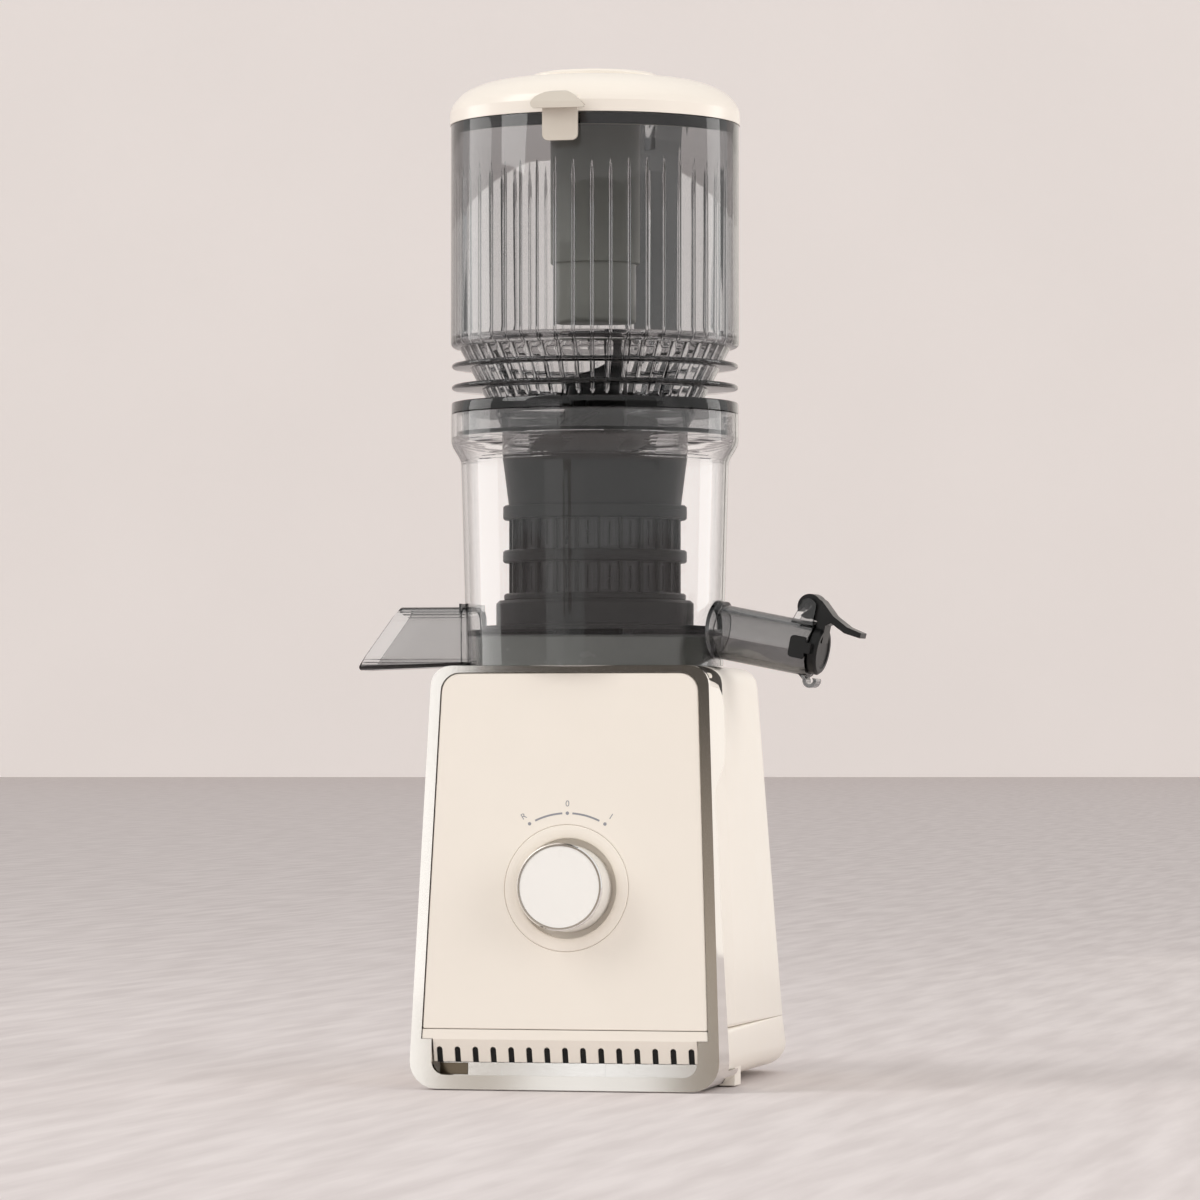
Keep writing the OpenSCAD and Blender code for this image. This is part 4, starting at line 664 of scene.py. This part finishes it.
# %% [markdown]
# ## The fluted hopper
# The hopper is one clear moulding: a cylinder on a cone, with three thin rims outside and 48 flutes
# inside. Its wall is turned from a section first, with columns of points bunched where each flute
# will stand. Geometry Nodes then pull the inner points in by a half-round rule of the distance from
# the nearest flute, so the flutes end in points at the top, and one closed wall bends the light
# cleanly. The solids are two, and would show a false line where they meet.

# %% Turn the hopper's wall
HOPPER_R, HOPPER_IN = 72.25, 69.65
CONE_R, CONE_Z, CONE_SLOPE, CONE_WALL = 54.5, 341.7, 0.5216, 2.932
FLUTES = 48


def cone_out(z):
    return CONE_R + (z - CONE_Z) * CONE_SLOPE


def cone_in(z):
    return cone_out(z) - CONE_WALL


def rim_section(z, tip=71.8, half=1.2):
    """A thin rim with a round tip, from its underside to its top."""
    arc = [(tip - half + half * math.cos(math.radians(a)), z + half * math.sin(math.radians(a)))
           for a in range(-90, 91, 30)]
    return [(cone_out(z - half), z - half), *arc, (cone_out(z + half), z + half)]


OUTER = [
    (44.0, 314.5), (44.6, 314.5), (46.2, 314.5), (46.5, 314.8), (46.5, 326.36), (cone_out(334.2), 334.2),
    (64.0, 334.2), (64.0, 323.4), (64.4, 323.0), (66.2, 323.0), (66.6, 323.4), (66.6, 334.2),
    (71.5, 334.2), (71.9, 334.6), (71.9, 339.2), (71.6, 339.8), (71.1, 340.0), (cone_out(340.0), 340.0),
    *rim_section(347.6), *rim_section(358.3), (cone_out(367.2), 367.2), (69.6, 367.3), (70.9, 367.7),
    (71.75, 368.4), (72.15, 369.2), (HOPPER_R, 370.2), (HOPPER_R, 478.4), (72.05, 479.0)]
INNER = [
    (69.85, 479.0),
    *[(HOPPER_IN, z) for z in (478.4, 460.0, *range(457, 448, -1), 430.0, 400.0, 375.0, 373.0)],
    (69.4, 371.6), (68.6, 370.4), (67.4, 369.4),
    *[(cone_in(z), z) for z in (368.0, 364.0, 356.0, 350.0, 345.0, 343.5, 342.5, 341.5)],
    (44.6, 327.2), (44.0, 325.2)]
# Where the columns of points stand about the middle of a flute, in degrees
SPREAD = (-2.4, -1.2, -0.68, -0.6, -0.45, -0.23, 0.0, 0.23, 0.45, 0.6, 0.68, 1.2, 2.4)


def turned_wall(name, outer, inner):
    """A closed wall of revolution in metres, whose inner points carry the attribute inner = 1."""
    section = outer + inner
    angles = [360.0 / FLUTES * (i + 0.5) + s for i in range(FLUTES) for s in SPREAD]
    points, faces = [], []
    for angle in angles:
        a = math.radians(angle)
        points += [(r * MM * math.cos(a), r * MM * math.sin(a), z * MM) for r, z in section]
    n, count = len(section), len(angles)
    for i in range(count):
        j = (i + 1) % count
        for k in range(n):
            m = (k + 1) % n
            faces.append((i * n + k, j * n + k, j * n + m, i * n + m))
    mesh = bpy.data.meshes.new(name)
    mesh.from_pydata(points, [], faces)
    mark = mesh.attributes.new("inner", "FLOAT", "POINT")
    mark.data.foreach_set("value", ([0.0] * len(outer) + [1.0] * len(inner)) * count)
    return new_piece(name, mesh)


hopper_wall = turned_wall("hopper_clear", OUTER, INNER)
print("hopper wall", len(hopper_wall.data.polygons), "faces")

# %% Raise the flutes
def flutes_tree():
    """Pulls the inner points in where a flute stands: full height between Low and High."""
    tree, given, out = start_tree("flutes", {
        "Count": float(FLUTES), "Height": 0.0011, "Half width": 0.0008, "Low": 0.3425, "High": 0.457,
        "Taper": 0.008, "Foot": 0.0015}, reshapes=True)
    size = given.outputs

    def calc(kind, *values, clamp=False):
        return maths(tree.nodes, tree.links, kind, *values, clamp=clamp)

    where, parts, mark, shift, move = new_nodes(
        tree, "GeometryNodeInputPosition", "ShaderNodeSeparateXYZ", "GeometryNodeInputNamedAttribute",
        "ShaderNodeCombineXYZ", "GeometryNodeSetPosition")
    mark.inputs["Name"].default_value = "inner"
    join(tree, (where, "Position", parts, "Vector"))
    x, y, z = parts.outputs
    radius = calc("SQRT", calc("ADD", calc("MULTIPLY", x, x), calc("MULTIPLY", y, y)))
    step = calc("DIVIDE", 2 * math.pi, size["Count"])
    along = calc("SUBTRACT", calc("FLOORED_MODULO", calc("ARCTAN2", y, x), step),
                 calc("MULTIPLY", step, 0.5))
    arc = calc("MULTIPLY", along, radius)
    top = calc("DIVIDE", calc("SUBTRACT", size["High"], z), size["Taper"], clamp=True)
    foot = calc("DIVIDE", calc("SUBTRACT", z, size["Low"]), size["Foot"], clamp=True)
    fade = calc("MULTIPLY", top, foot)
    wide = calc("ADD", calc("MULTIPLY", size["Half width"], fade), 1e-6)
    share = calc("DIVIDE", arc, wide)
    bow = calc("SQRT", calc("SUBTRACT", 1.0, calc("MULTIPLY", share, share), clamp=True))
    lift = calc("MULTIPLY", calc("MULTIPLY", bow, size["Height"]),
                calc("MULTIPLY", fade, mark.outputs["Attribute"]))
    pull = calc("DIVIDE", calc("MULTIPLY", lift, -1.0), radius)
    tree.links.new(calc("MULTIPLY", x, pull), shift.inputs["X"])
    tree.links.new(calc("MULTIPLY", y, pull), shift.inputs["Y"])
    join(tree, (given, "Geometry", move, "Geometry"), (shift, "Vector", move, "Offset"))
    return end_tree(tree, given, out, move, "Geometry")


hopper_wall.data = run_tree(hopper_wall, flutes_tree(), "smoke", {})
dress(hopper_wall, "smoke")
hopper_wall.data.shade_smooth()
hopper_wall.data.set_sharp_from_angle(angle=math.radians(35.0))
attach(hopper_wall, "hopper_unit")
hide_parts("hopper", "hopper_cone")
print("flutes", FLUTES)

# %% [markdown]
# ## Lugs and ledge
# The hopper carries the lid's hinge on two lugs at its back and a ledge for the latch in front. Under
# its skirt three bayonet lugs lock it on the bowl. Each is a side view or an arc with a width.

# %% Add the hopper's lugs and ledge
def side_form(name, outline, width, x, finish, radius=0.25):
    """A side view in millimetres, drawn as (y, z), made width wide about x, with soft edges."""
    shape = bmesh.new()
    face = shape.faces.new([shape.verts.new(((x - width / 2) * MM, y * MM, z * MM)) for y, z in outline])
    made = bmesh.ops.extrude_face_region(shape, geom=[face])
    moved = [v for v in made["geom"] if isinstance(v, bmesh.types.BMVert)]
    bmesh.ops.translate(shape, verts=moved, vec=(width * MM, 0, 0))
    bmesh.ops.recalc_face_normals(shape, faces=shape.faces)
    bmesh.ops.bevel(shape, geom=shape.edges[:], offset=radius * MM, segments=2, profile=0.5, affect="EDGES")
    return drawn_piece(name, shape, finish, sharp=180.0)


HINGE_Y, HINGE_Z, KNUCKLE_R = 78.5, 482.0, 4
half_turn = [math.radians(a) for a in range(0, 181, 20)]
knuckle = [(HINGE_Y + KNUCKLE_R * math.cos(a), HINGE_Z + KNUCKLE_R * math.sin(a)) for a in half_turn]
lug_outline = [(72.3, 465.2), (82.5, 479.0), *knuckle, (74.5, 478.9), (72.3, 478.9)]
ledge_outline = [(-73.8, 468.0), (-72.3, 466.6), (-72.3, 470.9), (-73.8, 470.4)]
added = [side_form("hopper_" + label, outline, width, x, "smoke") for label, outline, width, x in (
    ("lug_left", lug_outline, 5.6, -13.2), ("lug_right", lug_outline, 5.6, 13.2),
    ("latch_ledge", ledge_outline, 14.0, 0.0))]
BAYONET_R, BAYONET_Z, BAYONET_HALF, BAYONET_WIDE, BAYONET_TALL = 67.6, 325.5, 12.0, 2.4, 3.4
at_bayonet = Matrix.Translation((0, 0, BAYONET_Z * MM)) @ Matrix.Scale(MM, 4)
for i, middle in enumerate((75.0, -45.0, -165.0)):
    added.append(arc_strip("bayonet_lug_%d" % i, BAYONET_R, BAYONET_WIDE, BAYONET_TALL,
                           middle - BAYONET_HALF, middle + BAYONET_HALF, "smoke", at_bayonet))
for piece in added:
    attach(piece, "hopper_unit")
print("lugs and ledge", len(added))

# %% [markdown]
# ## Painted shade in the air slots
# Each air slot holds a black tongue that lies back in it, painted shade for the dark inside the deep slot.
# There is one to a slot, at the slots' own pitch, so Geometry Nodes lay them along a line.

# %% Fill the air slots with painted shade
def slot_shade_on_line():
    tree, given, out = start_tree("slot_shade_on_line", {
        "Count": 15, "Pitch": 9.0, "Width": 2.96, "Tall": 7.4, "Thick": 0.3})
    start, step, size, line, tongue, place = new_nodes(
        tree, "ShaderNodeCombineXYZ", "ShaderNodeCombineXYZ", "ShaderNodeCombineXYZ",
        "GeometryNodeMeshLine", "GeometryNodeMeshCube", "GeometryNodeInstanceOnPoints")
    line.mode = "OFFSET"
    last = maths(tree.nodes, tree.links, "SUBTRACT", given.outputs["Count"], 1.0)
    half = maths(tree.nodes, tree.links, "MULTIPLY", given.outputs["Pitch"], -0.5)
    tree.links.new(maths(tree.nodes, tree.links, "MULTIPLY", last, half), start.inputs["X"])
    join(tree, (given, "Pitch", step, "X"), (given, "Width", size, "X"), (given, "Tall", size, "Y"),
         (given, "Thick", size, "Z"), (given, "Count", line, "Count"),
         (start, "Vector", line, "Start Location"), (step, "Vector", line, "Offset"),
         (size, "Vector", tongue, "Size"), (line, "Mesh", place, "Points"),
         (tongue, "Mesh", place, "Instance"))
    return end_tree(tree, given, out, place, "Instances")


# Black tongues: painted shade in the air slots.
SLOT_V, SLOT_OUT, SLOT_LEAN = 17.5, -4.4, math.atan2(4.0, 10.8)
slot_place = on_front(SLOT_V, SLOT_OUT) @ Matrix.Rotation(SLOT_LEAN, 4, "X")
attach(grow("slot_painted_shade", slot_shade_on_line(), "rubber", {}, slot_place), "base")

# %% [markdown]
# ## Painted shade in the pockets behind the frame
# Behind the frame's upper corners the housing falls away into a pocket in shade. Here each is a thin dark
# patch laid on the housing, painted shade for the pocket. Its grid of points is cast onto the housing's own
# faces, so that it follows them, and the outline runs out in a crescent.

# %% Cast the pocket's painted shade onto the shoulder
SHOULDER_R, SHOULDER_X, SHOULDER_Z, SIDE_SLOPE = 9.9, 58.47, 198.2, 0.041
CAST_FROM, CAST_REACH = 5.0, 8.0
# Stations along the shoulder: y, and how far down over it the pocket's painted shade starts and ends
POCKET = [(-54.5, 1.6, 12.4), (-46.3, 2.6, 13.3), (-35.3, 4.4, 14.2), (-27.0, 6.2, 15.2),
          (-23.8, 7.2, 17.0), (-21.9, 8.2, 19.4), (-20.5, 9.3, 20.2), (-19.2, 11.0, 19.8)]
skin = solids["front_housing"].data
housing = BVHTree.FromPolygons([v.co for v in skin.vertices], [tuple(p.vertices) for p in skin.polygons])


def on_shoulder(y, down, out, side):
    """A point over the housing's shoulder: y along it, down over it from its top, out from it."""
    turn = min(down / SHOULDER_R, math.pi / 2)
    drop = max(down - SHOULDER_R * math.pi / 2, 0.0)
    away = Vector((side * math.sin(turn), 0.0, math.cos(turn)))
    axis = Vector((side * (SHOULDER_X + SIDE_SLOPE * drop), y, SHOULDER_Z - drop))
    start = (axis + away * (SHOULDER_R + CAST_FROM)) * MM
    hit = housing.ray_cast(start, -away, CAST_REACH * MM)[0] or (axis + away * SHOULDER_R) * MM
    return hit + away * out * MM


def pocket_rows(out, side, columns=16, steps=4):
    """The pocket's grid of points, with steps rows between two stations."""
    stations = [[a + (b - a) * k / steps for a, b in zip(near, far)]
                for near, far in zip(POCKET, POCKET[1:]) for k in range(steps)] + [POCKET[-1]]
    return [[on_shoulder(y, first + (last - first) * k / columns, out, side) for k in range(columns + 1)]
            for y, first, last in stations]


def rim_of(grid):
    """The points round a grid, in their order."""
    return grid[0] + [row[-1] for row in grid[1:]] + grid[-1][-2::-1] + [row[0] for row in grid[-2:0:-1]]


def closed_sheet(name, low, high, finish):
    """A thin closed sheet between two grids of points with the same rows."""
    shape = bmesh.new()
    lower, upper = ([[shape.verts.new(point) for point in row] for row in grid] for grid in (low, high))
    for grid in (lower, upper):
        for near, far in zip(grid, grid[1:]):
            for k in range(len(near) - 1):
                shape.faces.new((near[k], near[k + 1], far[k + 1], far[k]))
    rim_low, rim_high = rim_of(lower), rim_of(upper)
    for k in range(len(rim_low)):
        m = (k + 1) % len(rim_low)
        shape.faces.new((rim_low[k], rim_low[m], rim_high[m], rim_high[k]))
    return drawn_piece(name, shape, finish, sharp=40.0)


UNDERSIDE, FACE = 0.05, 0.2
print("pocket grid", len(pocket_rows(FACE, 1.0)), "rows")

# %% [markdown]
# ## Small trim
# Last come the things that a hand would add at the end: a dark bronze plate on the bright strip's end,
# which is painted dark reflection, the pockets' painted shade with a boss and a screw in each, and the
# pointer's line on the dial, which turns with it.

# %% Add the strip's painted reflection, the pockets' painted shade and the pointer
def turned(name, section, matrix, finish, steps=32):
    """A small turned part from (radius, height) points in millimetres."""
    shape = bmesh.new()
    angles = [2 * math.pi * i / steps for i in range(steps)]
    rings = [[shape.verts.new((r * math.cos(a), r * math.sin(a), h)) for a in (angles if r else [0.0])]
             for r, h in section]
    for near, far in zip(rings, rings[1:]):
        for i in range(steps):
            j = (i + 1) % steps
            corners = [near[i % len(near)], near[j % len(near)], far[j % len(far)], far[i % len(far)]]
            shape.faces.new(list(dict.fromkeys(corners)))
    return drawn_piece(name, shape, finish, matrix, 40.0)


def thin_plate(name, finish, centre, size, out, soft=0.1):
    """A plate on the front, centred at (x, v), with its outer face at out and soft edges."""
    shape = bmesh.new()
    bmesh.ops.create_cube(shape, size=1.0)
    bmesh.ops.scale(shape, vec=size, verts=shape.verts)
    bmesh.ops.bevel(shape, geom=shape.edges[:], offset=soft, segments=2, profile=0.5, affect="EDGES")
    x, v = centre
    return drawn_piece(name, shape, finish, on_front(v, out - size[2] / 2) @ Matrix.Translation((x, 0, 0)))


# A dark bronze plate on the strip's left end: painted dark reflection, where the bright strip shows the
# dark.
metal("bronze_painted_reflection", (0.20, 0.165, 0.12), (0.15, 0.12, 0.085), (0.18, 0.26))
# Dark brown: painted shade for the pockets, and the dark colour of the screws in them.
moulded("pocket_brown", (0.030, 0.024, 0.018), (0.020, 0.016, 0.012), (0.45, 0.6), 0.0, shine=0.1)
BOSS = [(0.0, 0.3), (0.9, 0.3), (0.9, 1.2), (1.2, 1.5), (1.6, 1.5), (1.8, 1.2), (1.8, -5.0), (0.0, -5.0)]
SCREW = [(0.0, 0.0), (0.88, 0.0), (0.88, 0.4), (0.7, 0.6), (0.0, 0.6)]
BOSS_X, BOSS_Y, BOSS_Z, SCREW_IN = 66.6, -48.0, 202.6, 0.35
trim = [thin_plate("strip_end_painted_reflection", "bronze_painted_reflection", centre=(-58.0, 10.8), size=(14.0, 5.8, 0.3), out=-12.2)]
for label, side in (("left", -1.0), ("right", 1.0)):
    trim.append(closed_sheet("pocket_" + label, pocket_rows(UNDERSIDE, side), pocket_rows(FACE, side),
                             "pocket_brown"))
    at_boss = Matrix.Translation((side * BOSS_X * MM, BOSS_Y * MM, BOSS_Z * MM)) @ Matrix.Rotation(
        math.pi / 2, 4, "X") @ Matrix.Scale(MM, 4)
    at_screw = at_boss @ Matrix.Translation((0, 0, SCREW_IN))
    trim += [turned("frame_boss_" + label, BOSS, at_boss, "cream"),
             turned("frame_screw_" + label, SCREW, at_screw, "pocket_brown")]
for piece in trim:
    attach(piece, "base")
POINTER_UP, KNOB_FACE = 16.5, 15.42
pointer = thin_plate("dial_pointer", "knob_white", centre=(0.0, DIAL_V + POINTER_UP), size=(0.6, 3.6, 0.3),
                     out=KNOB_FACE, soft=0.08)
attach(pointer, "dial")
print("trim", len(trim) + 1)

# %% [markdown]
# ## The room
# A pale floor runs back to a pale wall. The wall is far behind, so the floor's edge shows low in
# the picture. Neither is part of the juicer.

# %% Build the room
def flat_piece(name, corners, finish):
    mesh = bpy.data.meshes.new(name)
    mesh.from_pydata(corners, [], [(0, 1, 2, 3)])
    return new_piece(name, mesh, finish)


def room_finish(name, light, dark, scale, gloss, stretch=None):
    nodes, links, shader, where = start_finish(name)
    stone = noise(nodes, links, where, scale, 8.0, stretch)
    links.new(ramp(nodes, links, stone, [(0.35, dark), (0.65, light)]), shader.inputs["Base Color"])
    shader.inputs["Roughness"].default_value = gloss
    return nodes, links, shader


def seen_strength(nodes, links, seen, through):
    """A strength that only rays from the lens, from gloss or through something clear can see."""
    path = nodes.new("ShaderNodeLightPath").outputs
    looks = maths(nodes, links, "MAXIMUM", path["Is Camera Ray"], path["Is Glossy Ray"])
    plain = maths(nodes, links, "MULTIPLY", looks, seen)
    return maths(nodes, links, "MULTIPLY_ADD", path["Is Transmission Ray"], through, plain)


room_finish("floor_stone", (0.76, 0.70, 0.69), (0.66, 0.60, 0.59), 60.0, 0.75, (1.0, 0.1, 1.0))
nodes, links, paint = room_finish("wall_paint", (0.86, 0.80, 0.77), (0.84, 0.78, 0.75), 1.0, 0.95)
paint.inputs["Emission Color"].default_value = (1.0, 0.95, 0.92, 1.0)
links.new(seen_strength(nodes, links, 0.23, 0.36), paint.inputs["Emission Strength"])
FLOOR_START, FLOOR_END, ROOM = -12, 23.6, 25.0
floor = flat_piece("floor", [(-ROOM, FLOOR_START, 0), (ROOM, FLOOR_START, 0), (ROOM, FLOOR_END, 0),
                             (-ROOM, FLOOR_END, 0)], "floor_stone")
wall = flat_piece("wall", [(-ROOM, FLOOR_END, -1), (ROOM, FLOOR_END, -1), (ROOM, FLOOR_END, ROOM),
                           (-ROOM, FLOOR_END, ROOM)], "wall_paint")
for piece in (floor, wall):
    # Turned with the camera's azimuth, so that the floor's far edge is level
    piece.data.transform(Matrix.Rotation(AZIMUTH, 4, "Z"))
print("room", floor.name, wall.name)

# %% [markdown]
# ## Light
# Soft daylight comes from the upper left, and a weaker light fills the right side. The world gives
# the even part of the light, and is dimmer to rays that came through something clear.

# %% Hang the lights
def area_light(name, place, aim, size, power, mirrored=True):
    """A soft light, which mirror-like faces and clear walls show only where it is mirrored."""
    lamp = bpy.data.lights.new(name, "AREA")
    lamp.shape = "RECTANGLE"
    lamp.size, lamp.size_y = size
    lamp.energy = power
    lamp.color = (1.0, 0.985, 0.965)
    piece = new_piece(name, lamp)
    piece.location = place
    piece.rotation_euler = (Vector(aim) - Vector(place)).to_track_quat("-Z", "Y").to_euler()
    piece.visible_glossy = mirrored
    piece.visible_transmission = mirrored


area_light("key", (-2.0, -1.3, 2.0), (0, 0, 0.25), (1.2, 1.8), 28.0)
area_light("fill", (2.3, -0.9, 1.0), (0, 0, 0.2), (1.2, 1.8), 20.0, mirrored=False)
world = bpy.data.worlds.new("daylight")
world.use_nodes = True
nodes, links = world.node_tree.nodes, world.node_tree.links
back = nodes["Background"]
back.inputs["Color"].default_value = (0.975, 0.965, 0.95, 1.0)
sky = maths(nodes, links, "ADD", seen_strength(nodes, links, 0.12, -0.14), 0.76)
links.new(sky, back.inputs["Strength"])
bpy.context.scene.world = world
bpy.context.scene.view_settings.view_transform = "Standard"

# %% [markdown]
# ## Cards
# Polished plate looks like metal only when it has something to show. Upright cards stand round the
# juicer, where only mirror-like faces can see them: pale ones for the frame's bars, its skirts and
# the strip, and dark ones that stand before them. One more is behind, where only light that goes
# through a clear wall sees it, and shows as a dark band in the hopper.

# %% Stand the cards
def card(name, finish, azimuth, distance, low, high, width, seen_by="glossy"):
    """An upright card between two heights that only mirrored or only refracted light sees."""
    a = math.radians(azimuth)
    middle = Vector((math.sin(a), -math.cos(a), 0)) * distance
    across = Vector((math.cos(a), math.sin(a), 0)) * width / 2
    low, high = Vector((0, 0, low)), Vector((0, 0, high))
    piece = flat_piece(name, [middle - across + low, middle + across + low, middle + across + high,
                              middle - across + high], finish)
    piece.visible_camera = False
    piece.visible_diffuse = False
    piece.visible_shadow = False
    piece.visible_transmission = seen_by == "refracted"
    piece.visible_glossy = seen_by == "glossy"


def glow_finish(name, strength, stops, warm=0.0):
    """A card that glows by its height: stops of (height in metres, share of the strength)."""
    nodes, links, shader, where = start_finish(name)
    shades = [(z, (share, share * (0.985 - 0.14 * warm), share * (0.965 - 0.28 * warm)))
              for z, share in stops]
    glow = ramp(nodes, links, height_of(nodes, links, where), shades)
    links.new(glow, shader.inputs["Emission Color"])
    shader.inputs["Base Color"].default_value = (0.0, 0.0, 0.0, 1.0)
    shader.inputs["Emission Strength"].default_value = strength


glow_finish("card_side", 3.0, [(0.0, 0.8), (0.5, 1.0)])
glow_finish("card_bar", 1.25, [(0.0, 0.9), (0.2, 1.0)])
glow_finish("card_skirt", 1.05, [(0.0, 0.95), (0.3, 1.0)], 0.35)
glow_finish("card_corner", 0.42, [(0.12, 0.6), (0.32, 0.9)], 0.9)
glow_finish("card_low", 0.98, [(0.0, 0.9), (0.3, 1.0)])
glow_finish("card_patch", 0.5, [(0.1, 0.9), (0.2, 1.0)], 0.6)
glow_finish("card_edge", 1.0, [(0.30, 0.40), (0.35, 0.34), (0.48, 0.22), (0.58, 0.09), (0.62, 0.05),
                               (0.8, 0.02)], 1.0)
glow_finish("card_band", 0.13, [(0.3, 1.0), (0.8, 0.6)], 0.1)
glow_finish("card_front", 0.02, [(0.3, 1.0), (0.8, 0.6)], 0.5)
glow_finish("card_half", 0.35, [(0.3, 1.0), (0.8, 0.8)])
CAMERA_TURN = math.degrees(AZIMUTH)
card("glow_left", "card_side", CAMERA_TURN - 105.0, 1.6, 0.05, 1.0, 0.8)
card("glow_right", "card_side", CAMERA_TURN + 110.0, 1.6, 0.05, 1.0, 0.5)
card("glow_skirt", "card_skirt", 180.0 - CAMERA_TURN, 1.7, 0.0, 0.8, 0.7)
card("glow_bar", "card_bar", -22.8, 3.0, 0.02, 0.95, 0.86)
card("glow_low", "card_low", -6.0, 3.3, 0.0, 0.28, 1.05)
card("shade_patch", "card_patch", -14.3, 2.9, 0.14, 0.27, 0.088)
card("shade_corner", "card_corner", -9.2, 2.95, 0.14, 0.32, 0.14)
card("shade_bars", "card_edge", -11.1, 3.1, 0.28, 0.9, 0.385)
card("shade_front", "card_front", 15.0, 3.2, 0.30, 1.4, 2.55)
card("shade_right", "card_half", 52.0, 3.2, 0.30, 1.4, 1.9)
card("shade_band", "card_band", CAMERA_TURN + 180.0 - 6.0, 0.35, 0.34, 0.6, 0.036, "refracted")
print("cards", len([name for name in FINISHES if name.startswith("card_")]), "finishes")
